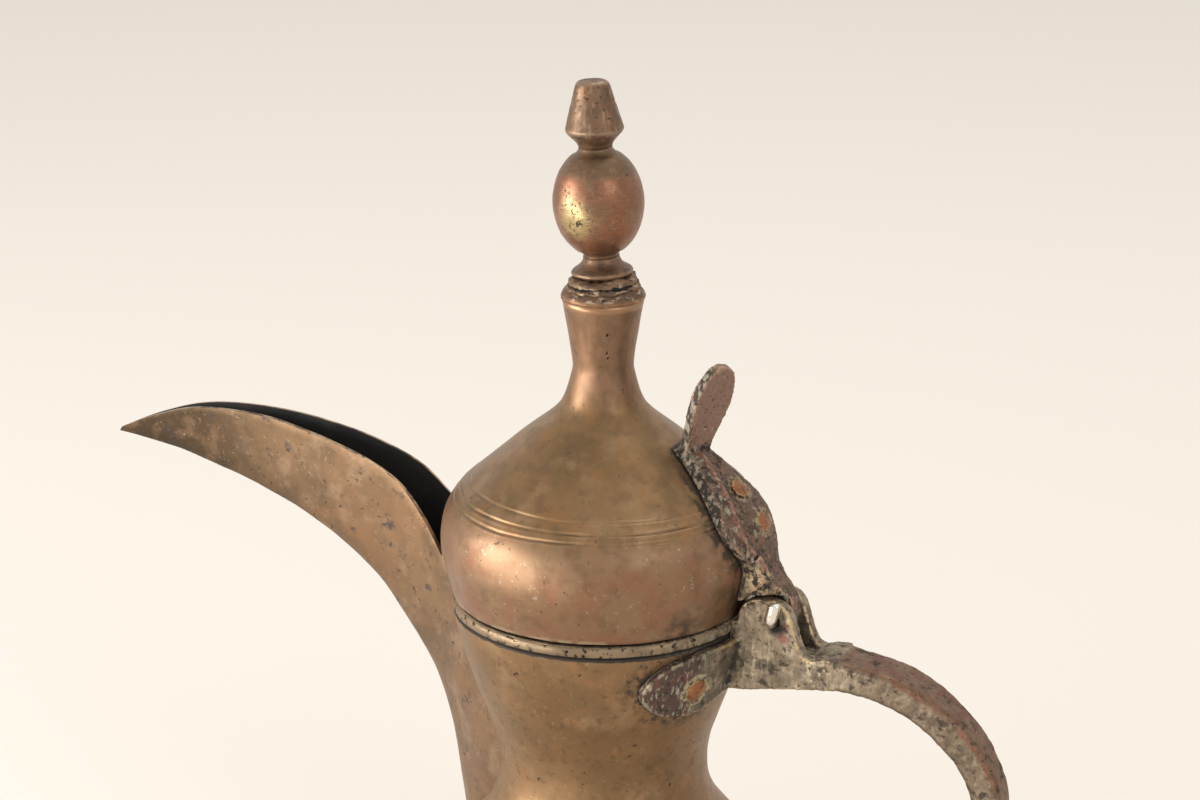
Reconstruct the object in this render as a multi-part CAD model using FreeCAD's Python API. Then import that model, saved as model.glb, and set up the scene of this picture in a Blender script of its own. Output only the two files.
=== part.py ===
import FreeCAD, Part
import math
import os

# A dallah: a tall Arabian coffee pot of raised copper and brass sheet.
# Millimetres. The origin is the centre of the base's underside, +Z is up,
# the spout points to -X and the handle and the lid's hinge are at +X.

# ---- driving dimensions ----
bodyHeight = 157.0        # base to the seam under the mouth ring
sheetWall = 1.5           # raised sheet of the body and the lid
spoutWall = 1.4
ringHeight = 4.0          # mouth ring that stiffens the rim
ringInner = 46.6
ringOuter = 49.4
seamHeight = 33.0         # joint between the lower bowl and the upper body
basePlateRise = 2.4       # how far the base disc is set up inside the foot
basePlateWall = 2.0
foldInner = 53.6          # folded edge that the pot stands on
foldOuter = 59.0

pinX = 63.0               # hinge pin's place, and its height above the rim seam
pinAbove = 6.6
pinRadius = 1.85
pinClearance = 0.06       # running fit in the lid's knuckle
forkWidth = 17.0          # both cheeks and the slot between them
slotWidth = 7.8
knuckleWidth = 7.2
knuckleRadius = 5.3

wingPlate = 3.0           # riveted collar wings
leafPlate = 3.8           # hinge leaf on the lid
leafShift = (1.3, 7.0)    # the leaf is bent flatter than the lid and stands off on its far side
tonguePlate = 3.4
shankRadius = 2.2
shankLap = 0.2            # how far a rivet's shank runs into its head and its burr
burrHeight = 0.9
stemRadius = 2.1
ballWall = 1.4
finialTilt = -3.3         # the finial leans a little towards the spout
finialPivot = 106.0       # height of the lean's pivot above the rim seam

ringRoom = 6.0            # space kept free above the mouth ring
spoutLidRoom = 1.6        # clearance from the lid to the spout and to the bracket
bracketLidRoom = 0.9
slotFloor = -5.0          # floor of the fork's slot, above the rim seam

# ---- outlines as (radius, height) ----
# Outer line of the body, from the foot up over the bulge and the waist to the rim.
bodyLine = [
    (54.6, -2.0), (61.5, 9.0), (65.8, 20.0), (67.0, 33.0), (64.2, 47.0), (57.0, 62.0), (46.6, 76.0),
    (39.0, 86.0), (35.6, 95.0), (34.8, 103.0), (35.6, 110.5), (38.6, 120.0), (43.4, 134.0),
    (47.2, 147.0), (49.2, 157.0),
]
# Outer line of the lid, above the rim seam: rounded drum, conical shoulder, flared neck.
lidLine = [
    (49.1, 5.2), (51.5, 13.8), (52.8, 22.0), (51.4, 31.8), (47.6, 38.6), (43.1, 43.0), (37.9, 47.5),
    (27.4, 56.5), (16.5, 65.5), (12.7, 70.5), (10.2, 79.0), (9.9, 83.0), (11.2, 92.5), (13.4, 103.8),
]


def vec(x, y, z):
    return FreeCAD.Vector(x, y, z)


zAxis = vec(0, 0, 1)
yAxis = vec(0, 1, 0)


def spline(points):
    curve = Part.BSplineCurve()
    curve.interpolate(points)
    return curve.toShape()


def raised(line, height):
    """The same (radius, height) line, lifted."""
    return [(r, z + height) for r, z in line]


def moved(line, distance):
    """The line moved square to itself: outwards when distance is positive."""
    out = []
    for i, (r, z) in enumerate(line):
        r0, z0 = line[max(i - 1, 0)]
        r1, z1 = line[min(i + 1, len(line) - 1)]
        length = math.hypot(r1 - r0, z1 - z0)
        out.append((r + distance * (z1 - z0) / length, z - distance * (r1 - r0) / length))
    return out


def turned(edges):
    return Part.Face(Part.Wire(edges)).revolve(vec(0, 0, 0), zAxis, 360)


def shellTurned(line, wall):
    """Sheet of revolution with its outer face on the line."""
    outer = [vec(r, 0, z) for r, z in line]
    inner = [vec(r, 0, z) for r, z in moved(line, -wall)]
    edges = [
        spline(outer),
        Part.makeLine(outer[-1], inner[-1]),
        spline(inner[::-1]),
        Part.makeLine(inner[0], outer[0]),
    ]
    return turned(edges)


def filledTurned(line):
    """Solid of revolution under the line."""
    outer = [vec(r, 0, z) for r, z in line]
    low = vec(0, 0, line[0][1])
    high = vec(0, 0, line[-1][1])
    edges = [
        spline(outer),
        Part.makeLine(outer[-1], high),
        Part.makeLine(high, low),
        Part.makeLine(low, outer[0]),
    ]
    return turned(edges)


def polyTurned(corners):
    """Solid of revolution whose outline has straight sides."""
    points = [vec(r, 0, z) for r, z in corners]
    wire = Part.makePolygon(points + [points[0]])
    return Part.Face(wire).revolve(vec(0, 0, 0), zAxis, 360)


def slab(low, high):
    """Everything between two heights."""
    return Part.makeBox(400, 400, high - low, vec(-200, -200, low))


def alongLine(line, height):
    """Radius and outward normal of a line at a height, by straight steps."""
    for (r0, z0), (r1, z1) in zip(line, line[1:]):
        if z0 <= height <= z1:
            share = (height - z0) / (z1 - z0)
            length = math.hypot(r1 - r0, z1 - z0)
            return r0 + share * (r1 - r0), (z1 - z0) / length, -(r1 - r0) / length
    raise ValueError("height is off the line")


def save(name, shape):
    shape.exportStep("parts/" + name + ".step")


def splinePrism(outline, start, direction):
    """Closed smooth outline, given as points in a plane, pulled along a direction."""
    curve = Part.BSplineCurve()
    curve.interpolate([p + start for p in outline], PeriodicFlag=True)
    return Part.Face(Part.Wire(curve.toShape())).extrude(direction)


def rivetAt(point, normal, headRadius, headHeight, grip, tailRadius):
    """Rivet set along a normal: low domed head outside, shank, flat burr inside."""
    domeRadius = (headRadius ** 2 + headHeight ** 2) / (2 * headHeight)
    ball = Part.makeSphere(domeRadius, point - normal * (domeRadius - headHeight))
    head = ball.common(Part.makeCylinder(headRadius * 1.1, headHeight * 1.5, point, normal))
    shank = Part.makeCylinder(shankRadius, grip + 2 * shankLap, point - normal * (grip + shankLap), normal)
    tail = Part.makeCylinder(tailRadius, burrHeight, point - normal * (grip + burrHeight), normal)
    return head.fuse([shank, tail]).removeSplitter()


# ---- body ----
bodyFilled = filledTurned(bodyLine)
bodySheet = shellTurned(bodyLine, sheetWall)


def makeMouthRing():
    low = bodyHeight
    top = bodyHeight + ringHeight
    corners = [
        (ringInner, low), (ringOuter - 0.3, low), (ringOuter, low + 0.6), (ringOuter, top - 1.4),
        (ringOuter - 0.5, top - 0.4), (ringOuter - 1.3, top), (ringInner + 0.4, top), (ringInner, top - 0.5),
    ]
    return polyTurned(corners)


def makeLowerBody():
    """Bowl under the widest line, trimmed to a flat foot rim with a folded edge."""
    fold = polyTurned([
        (foldInner, 0.0), (foldOuter, 0.0), (foldOuter, basePlateRise), (foldInner, basePlateRise),
    ])
    return bodySheet.common(slab(0, seamHeight)).fuse(fold.common(bodyFilled)).removeSplitter()


def makeBasePlate():
    """Disc soldered inside the foot, just above the folded edge."""
    inside = filledTurned(moved(bodyLine, -sheetWall))
    return inside.common(slab(basePlateRise, basePlateRise + basePlateWall))


# ---- spout ----
# Stations from the tip to the root: keel (x, z), edge (x, z), half width at the edge, and
# fullness, from 0.4 for a round gutter to 0.8 for a V. Heights are above the rim seam.
spoutStations = [
    ((-187.0, 31.9), (-185.8, 33.6), 0.7, 0.5),
    ((-168.0, 29.9), (-169.5, 41.0), 2.4, 0.5),
    ((-150.3, 26.3), (-150.0, 46.6), 3.8, 0.5),
    ((-128.0, 19.6), (-123.0, 47.4), 5.6, 0.5),
    ((-105.0, 9.8), (-95.0, 42.8), 8.0, 0.5),
    ((-86.0, -3.6), (-73.5, 35.0), 9.4, 0.52),
    ((-72.5, -19.5), (-61.0, 23.6), 11.4, 0.56),
    ((-62.6, -35.0), (-49.0, 8.0), 16.0, 0.6),
    ((-56.2, -53.5), (-32.0, -14.0), 24.0, 0.66),
    ((-52.8, -76.0), (-22.0, -52.0), 24.0, 0.68),
    ((-50.0, -96.0), (-20.0, -88.0), 16.0, 0.68),
]


keelGain = 1.3            # the sheet is thicker along the keel's fold
thinnest = 0.15           # half width left inside the tip


def spoutSection(keel, edge, half, fullness, inset, overshoot):
    """Gutter section between the keel and the two edges.

    Inset is the sheet's thickness, and overshoot carries the walls up past the edges.
    """
    kx, kz = keel
    ex, ez = edge
    depth = math.hypot(ex - kx, ez - kz)
    ux, uz = (ex - kx) / depth, (ez - kz) / depth
    points = []
    for side in (-1.0, -0.8, -0.5, -0.2, 0.0, 0.2, 0.5, 0.8, 1.0):
        share = abs(side) ** (1 / fullness)
        y = side * max(half - inset, thinnest)
        along = inset * keelGain + share * (depth - inset * keelGain)
        points.append(vec(kx + ux * along, y, kz + uz * along + bodyHeight))
    top = [p + vec(ux, 0, uz) * overshoot for p in (points[-1], points[0])]
    edges = [spline(points)]
    corners = [points[-1]] + (top if overshoot > 0 else []) + [points[0]]
    for start, end in zip(corners, corners[1:]):
        edges.append(Part.makeLine(start, end))
    return Part.Wire(edges)


def makeSpoutSolids():
    outer = Part.makeLoft([spoutSection(*station, 0.0, 0.0) for station in spoutStations], True)
    inner = Part.makeLoft(
        [spoutSection(*station, spoutWall, 8.0) for station in spoutStations[1:]], True)
    return outer, inner


spoutOuter, spoutInner = makeSpoutSolids()
ringFilled = Part.makeCylinder(ringOuter, ringHeight + ringRoom, vec(0, 0, bodyHeight))


def lidRoom(clearance):
    """Space that the closed lid's lower part takes up, with a clearance round it."""
    return filledTurned(raised(moved(lidLine[:4], clearance), bodyHeight))


def makeSpout():
    sheet = spoutOuter.cut([spoutInner, bodyFilled, ringFilled, lidRoom(spoutLidRoom)])
    return max(sheet.Solids, key=lambda solid: solid.Volume)


def makePourOpening():
    """The body's wall is open behind the spout, from under the rim band to the waist."""
    low = bodyHeight - 68.0
    high = bodyHeight - 6.0
    behindSpout = Part.makeBox(60, 60, high - low, vec(-75, -30, low))
    return spoutInner.common(behindSpout)


# ---- hinge bracket ----
# One wing of the collar as (azimuth from the handle in degrees, height above the rim seam).
wingOutline = [
    (-6.0, -1.2), (10.0, -1.2), (21.0, -1.2), (35.0, -2.4), (46.0, -6.8), (50.3, -12.6), (46.0, -19.4),
    (34.0, -24.0), (20.5, -23.2), (9.0, -19.8), (-6.0, -18.6),
]
wingTurn = 34.0           # direction in which a wing's outline is cut
wingReach = 50.0          # radius at which its azimuths hold


def makeWing(side):
    """Collar plate on one side of the handle, bent round the body."""
    turn = math.radians(side * wingTurn)
    out = vec(math.cos(turn), math.sin(turn), 0)
    across = vec(-math.sin(turn), math.cos(turn), 0)
    points = []
    for azimuth, z in wingOutline:
        shift = wingReach * math.sin(math.radians(side * azimuth) - turn)
        points.append(out * 10 + across * shift + vec(0, 0, z + bodyHeight))
    outline = Part.Wire([spline(points), Part.makeLine(points[-1], points[0])])
    prism = Part.Face(outline).extrude(out * 60)
    return filledTurned(moved(bodyLine, wingPlate)).common(prism).cut(bodyFilled)


# Side view of the fork as (x, height above the rim seam): straight under and behind the
# cheeks, where a lap step marks the handle's start, then rounded over the pin.
forkBase = [
    (40.0, 4.8), (40.0, -18.8), (52.0, -18.8), (62.5, -16.9), (72.7, -15.1), (84.0, -13.6), (84.0, -3.4),
    (79.0, -3.4), (76.2, -4.6), (73.6, -3.8),
]
forkCheek = [
    (73.6, -3.8), (71.0, 2.4), (69.5, 7.0), (66.8, 11.6), (62.5, 13.3), (56.5, 13.2), (52.4, 10.4),
    (51.4, 4.8),
]


def makeBracket():
    """Forged fork: wings, two cheeks and the block where the handle begins."""
    side = -forkWidth / 2
    base = [vec(x, side, z + bodyHeight) for x, z in forkBase]
    cheek = [vec(x, side, z + bodyHeight) for x, z in forkCheek]
    edges = Part.makePolygon(base).Edges + [spline(cheek), Part.makeLine(cheek[-1], base[0])]
    fork = Part.Face(Part.Wire(edges)).extrude(vec(0, forkWidth, 0))
    slot = Part.makeBox(30, slotWidth, 40, vec(45.0, -slotWidth / 2, bodyHeight + slotFloor))
    bore = Part.makeCylinder(pinRadius, 60, vec(pinX, -30, bodyHeight + pinAbove), yAxis)
    bracket = fork.cut(slot).cut(bodyFilled)
    for end in (-1, 1):
        bracket = bracket.fuse(makeWing(end))
    bracket = bracket.cut([ringFilled, lidRoom(bracketLidRoom), bore])
    return bracket.removeSplitter()


def wingRivets():
    solids = []
    height = bodyHeight - 14.0
    radius, outR, outZ = alongLine(bodyLine, height)
    for azimuth in (-28.0, 28.0):
        angle = math.radians(azimuth)
        normal = vec(outR * math.cos(angle), outR * math.sin(angle), outZ)
        foot = vec(radius * math.cos(angle), radius * math.sin(angle), height)
        solids.append(rivetAt(foot + normal * wingPlate, normal, 4.6, 1.1, wingPlate + sheetWall, 3.8))
    return solids


def makePin():
    """Wire hinge pin, its near end turned up against the cheek and its far end turned down."""
    height = bodyHeight + pinAbove
    half = forkWidth / 2 + 0.4
    bend = 2.4
    tail = 4.2
    cut = bend * math.sin(math.pi / 4)
    edges = [Part.makeLine(vec(pinX, -half, height), vec(pinX, half, height))]
    for side, up in [(-1, 1), (1, -1)]:
        start = vec(pinX, side * half, height)
        middle = vec(pinX, side * (half + cut), height + up * (bend - cut))
        end = vec(pinX, side * (half + bend), height + up * bend)
        edges += [Part.Arc(start, middle, end).toShape(), Part.makeLine(end, end + vec(0, 0, up * tail))]
    path = Part.Wire(Part.sortEdges(edges)[0])
    first = path.OrderedVertexes[0].Point
    section = Part.Wire(Part.makeCircle(pinRadius, first, zAxis))
    return path.makePipeShell([section], True, False)


# ---- handle ----
# Middle line of the bar in the XZ plane as (x, z above the rim seam), width and thickness.
handleStations = [
    (84.0, -8.5, 17.0, 10.2),
    (98.5, -10.3, 16.8, 10.0),
    (111.0, -15.0, 15.6, 10.2),
    (121.8, -22.6, 14.0, 10.4),
    (129.2, -31.4, 12.4, 10.4),
    (133.6, -41.5, 11.2, 10.2),
    (135.2, -54.0, 10.6, 9.8),
    (133.6, -68.0, 10.4, 9.4),
    (127.6, -83.0, 10.4, 9.0),
    (116.4, -96.0, 10.8, 8.6),
    (101.0, -105.4, 11.4, 8.4),
    (84.0, -111.2, 12.2, 8.4),
    (62.0, -115.6, 13.0, 8.6),
]


def barSection(x, z, dirX, dirZ, width, thick):
    corner = 1.6
    half = width / 2
    across = thick / 2
    flat = [(-half, -across), (half, -across), (half, across), (-half, across)]
    points = []
    for i, (y, n) in enumerate(flat):
        for other in (flat[i - 1], flat[(i + 1) % 4]):
            length = math.hypot(other[0] - y, other[1] - n)
            points.append((y + (other[0] - y) * corner / length, n + (other[1] - n) * corner / length))
    place = [vec(x - dirZ * n, y, z + dirX * n + bodyHeight) for y, n in points]
    return Part.makePolygon(place + [place[0]])


def makeBar():
    sections = []
    last = len(handleStations) - 1
    for i, (x, z, width, thick) in enumerate(handleStations):
        before = handleStations[max(i - 1, 0)]
        after = handleStations[min(i + 1, last)]
        length = math.hypot(after[0] - before[0], after[1] - before[1])
        dirX, dirZ = (after[0] - before[0]) / length, (after[1] - before[1]) / length
        if i == 0:
            dirX, dirZ = 1.0, 0.0
        sections.append(barSection(x, z, dirX, dirZ, width, thick))
    return Part.makeLoft(sections, True)


def makeHandle():
    """Bar with its lower end beaten out into a leaf that is riveted on the bulge."""
    half = [(0.0, 64.0), (5.0, 57.0), (8.6, 46.0), (8.8, 36.0), (5.4, 27.0), (0.0, 22.0)]
    left = [(-y, z) for y, z in half[1:-1]][::-1]
    outline = [vec(0, y, z) for y, z in half + left]
    prism = splinePrism(outline, vec(30, 0, 0), vec(60, 0, 0))
    foot = filledTurned(moved(bodyLine, wingPlate)).common(prism)
    return makeBar().fuse(foot).cut(bodyFilled).removeSplitter()


def footRivets():
    solids = []
    for height in (26.5, 56.0):
        radius, outR, outZ = alongLine(bodyLine, height)
        normal = vec(outR, 0, outZ)
        foot = vec(radius, 0, height) + normal * wingPlate
        solids.append(rivetAt(foot, normal, 3.9, 1.0, wingPlate + sheetWall, 3.2))
    return solids


# ---- lid ----
lidOuter = raised(lidLine, bodyHeight)
lidFilled = filledTurned(lidOuter)
grooves = [43.0, 40.0, 37.8]      # incised rings, height above the rim seam
graverRadius = 0.6
graverOut = 0.5                   # the graver's middle stays outside the sheet


def makeLid():
    lid = shellTurned(lidOuter, sheetWall)
    for height in grooves:
        radius = alongLine(lidLine, height)[0] + graverOut
        lid = lid.cut(Part.makeTorus(radius, graverRadius, vec(0, 0, height + bodyHeight), zAxis))
    return lid


# Hinge leaf as (distance to one side, height above the rim seam), near and far edge.
leafNear = [
    (4.4, 57.5), (7.0, 51.4), (10.0, 46.5), (14.0, 40.7), (15.8, 36.6), (14.4, 31.5), (11.0, 26.8),
    (8.5, 22.0),
]
leafFar = [
    (5.6, 57.5), (8.0, 51.4), (9.2, 46.5), (9.8, 40.7), (9.8, 36.6), (9.4, 31.5), (8.9, 26.8), (8.5, 22.0),
]
# Strap from the leaf down to the pin, as (x, height above the rim seam), and its plan as (x, y).
strapSide = [
    (50.0, 26.5), (57.2, 26.5), (58.7, 21.2), (61.4, 18.2), (64.3, 16.4), (65.6, 14.6), (64.3, 13.9),
    (60.5, 14.4), (57.0, 14.2), (54.2, 13.6), (52.4, 11.9), (50.0, 11.9),
]
strapPlan = [(45.0, -8.5), (58.5, -8.5), (65.8, -4.2), (65.8, 4.2), (58.5, 8.5), (45.0, 8.5)]
webSide = [(57.4, 15.4), (62.0, 17.6), (65.0, 16.2), (67.6, 12.4), (68.0, 8.0), (63.0, 6.6), (58.4, 8.0)]


def sidePrism(outline, halfWidth):
    """Closed outline in the XZ plane pulled to the same width on both sides."""
    points = [vec(x, -halfWidth, z + bodyHeight) for x, z in outline]
    return Part.Face(Part.makePolygon(points + [points[0]])).extrude(vec(0, 2 * halfWidth, 0))


def makeLeaf():
    """Forged hinge leaf: plate on the lid, strap to the knuckle and a thumb tongue on top."""
    far = [vec(20, y, z + bodyHeight) for y, z in leafFar]
    near = [vec(20, -y, z + bodyHeight) for y, z in leafNear]
    outline = Part.Wire([
        spline(far), Part.makeLine(far[-1], near[-1]), spline(near[::-1]), Part.makeLine(near[0], far[0]),
    ])
    skin = filledTurned(moved(lidOuter, leafPlate))
    skin.translate(vec(leafShift[0], leafShift[1], 0))
    plate = skin.common(Part.Face(outline).extrude(vec(60, 0, 0)))

    corners = [vec(x, y, bodyHeight) for x, y in strapPlan]
    plan = Part.Face(Part.makePolygon(corners + [corners[0]])).extrude(vec(0, 0, 40))
    strap = sidePrism(strapSide, 10.0).common(plan)
    web = sidePrism(webSide, knuckleWidth / 2)
    pinHeight = bodyHeight + pinAbove
    barrel = Part.makeCylinder(knuckleRadius, knuckleWidth, vec(pinX, -knuckleWidth / 2, pinHeight), yAxis)
    bore = Part.makeCylinder(pinRadius + pinClearance, 20, vec(pinX, -10, pinHeight), yAxis)

    leaf = plate.fuse([strap, web, barrel, makeTongue()]).cut([lidFilled, bore])
    return max(leaf.Solids, key=lambda solid: solid.Volume).removeSplitter()


tongueTwist = -20.0       # about the upright, towards the near side
tongueLean = 17.5         # away from the finial
tongueFoot = (33.6, 0.6, 58.2)


def makeTongue():
    """Rounded thumb plate, leaning out from the top of the leaf and twisted towards one side."""
    half = [(6.0, -2.0), (6.4, 3.0), (7.6, 9.0), (8.4, 16.0), (7.6, 22.0), (4.6, 26.8), (0.0, 28.6)]
    right = [vec(0, y, z) for y, z in half]
    left = [vec(0, -y, z) for y, z in half]
    wire = Part.Wire([spline(right), spline(left[::-1]), Part.makeLine(left[0], right[0])])
    tongue = Part.Face(wire).extrude(vec(-tonguePlate, 0, 0))
    tongue.rotate(vec(0, 0, 0), zAxis, tongueTwist)
    tongue.rotate(vec(0, 0, 0), yAxis, tongueLean)
    x, y, z = tongueFoot
    tongue.translate(vec(x, y, z + bodyHeight))
    return tongue


leafGrip = 5.0            # leaf and solder under a rivet's head


def leafRivets():
    """Rivets through the leaf, as (height above the rim seam, distance to the far side)."""
    solids = []
    skinLine = moved(lidLine, leafPlate)
    for height, side in [(45.7, 2.0), (35.2, 3.0)]:
        radius, outR, outZ = alongLine(skinLine, height)
        angle = math.asin((side - leafShift[1]) / radius)
        normal = vec(outR * math.cos(angle), outR * math.sin(angle), outZ)
        foot = vec(radius * math.cos(angle) + leafShift[0], side, height + bodyHeight)
        solids.append(rivetAt(foot, normal, 3.7, 0.9, leafGrip + sheetWall, 3.2))
    return solids


# ---- finial ----
# Turned outlines as (radius, height above the rim seam), all bored for the stem.
capCorners = [
    (stemRadius, 103.9), (13.4, 103.9), (12.8, 106.0), (10.9, 108.0), (stemRadius, 108.0),
]
solderCorners = [
    (stemRadius, 107.0), (10.4, 107.0), (10.6, 109.0), (9.4, 110.6), (stemRadius, 110.6),
]
baseCorners = [
    (stemRadius, 110.7), (8.6, 110.7), (9.9, 112.2), (8.6, 113.6), (5.6, 117.0), (stemRadius, 117.0),
]
coneCorners = [
    (stemRadius, 152.2), (5.4, 152.2), (5.6, 153.4), (9.15, 157.4), (9.15, 158.4), (5.5, 171.6),
    (4.8, 173.0), (0.0, 173.0), (0.0, 164.2), (stemRadius, 164.2),
]
ballCentre = 134.6
ballRadius = 14.45
ballRise = 17.9           # half the egg's height before its ends are trimmed
ballLow = 117.1
ballHigh = 152.1
sleeveRadius = 3.6        # tube through the ball, round the stem
stemLow = 100.1
stemHigh = 164.1
stemFootRadius = 4.4
stemFoot = (102.3, 103.7)


def leaned(shape):
    shape.rotate(vec(0, 0, bodyHeight + finialPivot), yAxis, finialTilt)
    return shape


def lifted(corners):
    return polyTurned(raised(corners, bodyHeight))


def column(radius, low, high):
    """Upright cylinder on the pot's axis between two heights above the rim seam."""
    return Part.makeCylinder(radius, high - low, vec(0, 0, bodyHeight + low))


def makeNeckCap():
    """Dished disc that closes the neck's top."""
    return lifted(capCorners)


def makeSolderCollar():
    return leaned(lifted(solderCorners)).cut(makeNeckCap())


def makeFinialBall():
    """Hollow egg-shaped ball with a sleeve for the stem."""
    shells = []
    for wall in (0.0, ballWall):
        shape = FreeCAD.Matrix()
        shape.scale(ballRadius - wall, ballRadius - wall, ballRise - wall)
        ball = Part.makeSphere(1.0).transformGeometry(shape)
        ball.translate(vec(0, 0, bodyHeight + ballCentre))
        shells.append(ball)
    sleeve = column(sleeveRadius, ballLow, ballHigh).common(shells[0])
    ball = shells[0].cut(shells[1]).fuse(sleeve)
    ball = ball.common(column(ballRadius + 1, ballLow, ballHigh))
    ball = ball.cut(column(stemRadius, ballLow - 1, ballHigh + 1))
    return leaned(ball)


def makeStem():
    """Rod that holds the stack, spread under the neck cap."""
    return leaned(column(stemRadius, stemLow, stemHigh)).fuse(column(stemFootRadius, *stemFoot))


def main():
    os.makedirs("parts", exist_ok=True)
    wingPair = wingRivets()
    footPair = footRivets()
    leafPair = leafRivets()
    stem = makeStem()
    handle = makeHandle()

    upper = bodySheet.common(slab(seamHeight, bodyHeight)).cut(makePourOpening())
    lower = makeLowerBody()
    for rivet in wingPair + footPair:
        upper = upper.cut(rivet)
        lower = lower.cut(rivet)
    save("upper_body", upper)
    save("lower_body", lower)
    save("base_plate", makeBasePlate())
    save("mouth_ring", makeMouthRing())
    save("spout", makeSpout())

    bracket = makeBracket()
    for rivet in wingPair:
        bracket = bracket.cut(rivet)
    for rivet in footPair:
        handle = handle.cut(rivet)
    save("hinge_bracket", bracket)
    save("bracket_rivets", Part.makeCompound(wingPair))
    save("handle", handle.cut(bracket))
    save("foot_rivets", Part.makeCompound(footPair))
    save("hinge_pin", makePin())

    lid = makeLid().cut(makeNeckCap())
    leaf = makeLeaf()
    for rivet in leafPair:
        lid = lid.cut(rivet)
        leaf = leaf.cut(rivet)
    save("lid", lid)
    save("lid_leaf", leaf)
    save("leaf_rivets", Part.makeCompound(leafPair))
    save("neck_cap", makeNeckCap().cut(stem))
    save("solder_collar", makeSolderCollar().cut(stem))
    save("finial_base", leaned(lifted(baseCorners)))
    save("finial_ball", makeFinialBall())
    save("finial_cone", leaned(lifted(coneCorners)))
    save("finial_stem", stem)


main()
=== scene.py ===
import math
import bpy
import bmesh
from mathutils.bvhtree import BVHTree
from mathutils import Matrix, Vector, noise


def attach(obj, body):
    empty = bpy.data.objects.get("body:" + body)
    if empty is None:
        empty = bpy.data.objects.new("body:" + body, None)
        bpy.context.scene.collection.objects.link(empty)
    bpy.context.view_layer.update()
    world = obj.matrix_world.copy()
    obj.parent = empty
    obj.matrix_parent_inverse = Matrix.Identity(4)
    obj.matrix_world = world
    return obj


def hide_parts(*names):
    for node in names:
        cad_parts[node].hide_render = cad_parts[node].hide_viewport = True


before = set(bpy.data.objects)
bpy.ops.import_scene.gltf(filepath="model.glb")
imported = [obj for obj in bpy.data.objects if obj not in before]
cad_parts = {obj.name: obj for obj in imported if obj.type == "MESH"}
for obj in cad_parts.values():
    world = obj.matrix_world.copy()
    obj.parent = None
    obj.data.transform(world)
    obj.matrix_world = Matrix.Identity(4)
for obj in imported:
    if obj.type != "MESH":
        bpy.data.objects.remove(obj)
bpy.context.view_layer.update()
print("frame loaded:", len(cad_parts), "nodes")

# Pieces are shaped in millimetres and brought to metres when they are finished.
# "Above the rim" counts from the seam under the mouth ring.
mm = 0.001
rimHeight = 157.0
turnSteps = 144

bodyShape = {
    "line": [              # radius, height
        (54.6, -2.0), (61.5, 9.0), (65.8, 20.0), (67.0, 33.0), (64.2, 47.0), (57.0, 62.0), (46.6, 76.0),
        (39.0, 86.0), (35.6, 95.0), (34.8, 103.0), (35.6, 110.5), (38.6, 120.0), (43.4, 134.0),
        (47.2, 147.0), (49.2, 157.0),
    ],
    "wall": 1.5,
    "seam": 33.0,          # where the bowl meets the upper body
    "bowlStep": 1.7,
    "upperStep": 1.5,
    "rimEdge": [(-0.15, -0.7), (-0.9, 0.0)],
    "dents": (0.34, 17.0, 3.1),   # depth, size, seed
    "dirtAndShadowReach": 3.2,          # how far dirt and a painted contact shadow reach round the bracket
}

lidShape = {
    "line": [              # radius, height above the rim
        (49.1, 5.2), (51.5, 13.8), (52.8, 22.0), (51.4, 31.8), (47.6, 38.6), (43.1, 43.0), (37.9, 47.5),
        (27.4, 56.5), (16.5, 65.5), (12.7, 70.5), (10.2, 79.0), (9.9, 83.0), (11.2, 92.5), (13.4, 103.8),
    ],
    "wall": 1.5,
    "step": 1.3,
    "innerStep": 2.2,
    "lip": [(-0.35, -0.32), (-0.85, -0.38), (-1.25, -0.2)],
    "turns": 180,
    "dents": (0.30, 15.0, 5.7),
    "dirtAndShadowReach": 2.6,          # how far dirt and a painted contact shadow reach round the leaf
}


# Small helpers for lines

def smoothLine(points, parts):
    # a rounded line through the points
    out = []
    last = len(points) - 1
    for i in range(last):
        a, b = Vector(points[max(i - 1, 0)]), Vector(points[i])
        c, d = Vector(points[i + 1]), Vector(points[min(i + 2, last)])
        for k in range(parts):
            t = k / parts
            bend = (2 * a - 5 * b + 4 * c - d) * t ** 2 + (3 * b - a - 3 * c + d) * t ** 3
            out.append(tuple(0.5 * ((2 * b) + (c - a) * t + bend)))
    out.append(tuple(points[-1]))
    return out


def offsetLine(line, distance):
    # the line moved square to itself, outwards when distance is positive
    out = []
    for i, (r, z) in enumerate(line):
        r0, z0 = line[max(i - 1, 0)]
        r1, z1 = line[min(i + 1, len(line) - 1)]
        length = math.hypot(r1 - r0, z1 - z0)
        out.append((r + distance * (z1 - z0) / length, z - distance * (r1 - r0) / length))
    return out


def radiusAt(line, height):
    for (r0, z0), (r1, z1) in zip(line, line[1:]):
        if z0 <= height <= z1:
            return r0 + (r1 - r0) * (height - z0) / max(z1 - z0, 1e-6)
    return line[0][0] if height < line[0][1] else line[-1][0]


def evenLine(line, step):
    # the same line with points at least a step apart
    out = [line[0]]
    for point in line[1:-1]:
        if math.dist(point, out[-1]) >= step:
            out.append(point)
    return out + [line[-1]]


def raiseLine(line, up):
    return [(r, z + up) for r, z in line]


def easeStep(low, high, value):
    t = min(max((value - low) / (high - low), 0.0), 1.0)
    return t * t * (3 - 2 * t)


# Small helpers for meshes
axisCalm = 12          # dents fade out this near the axis
wearShape = {"rounds": 2, "gain": 2.2, "even": 0.5}


def toMetres(bm):
    bmesh.ops.scale(bm, vec=(mm, mm, mm), verts=bm.verts)


def only(kind, geom):
    return [g for g in geom if isinstance(g, kind)]


def addObject(name, data):
    thing = bpy.data.objects.new(name, data)
    bpy.context.scene.collection.objects.link(thing)
    return thing


def addModifier(piece, kind, **settings):
    modifier = piece.modifiers.new(kind.lower(), kind)
    for key, value in settings.items():
        setattr(modifier, key, value)


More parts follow.
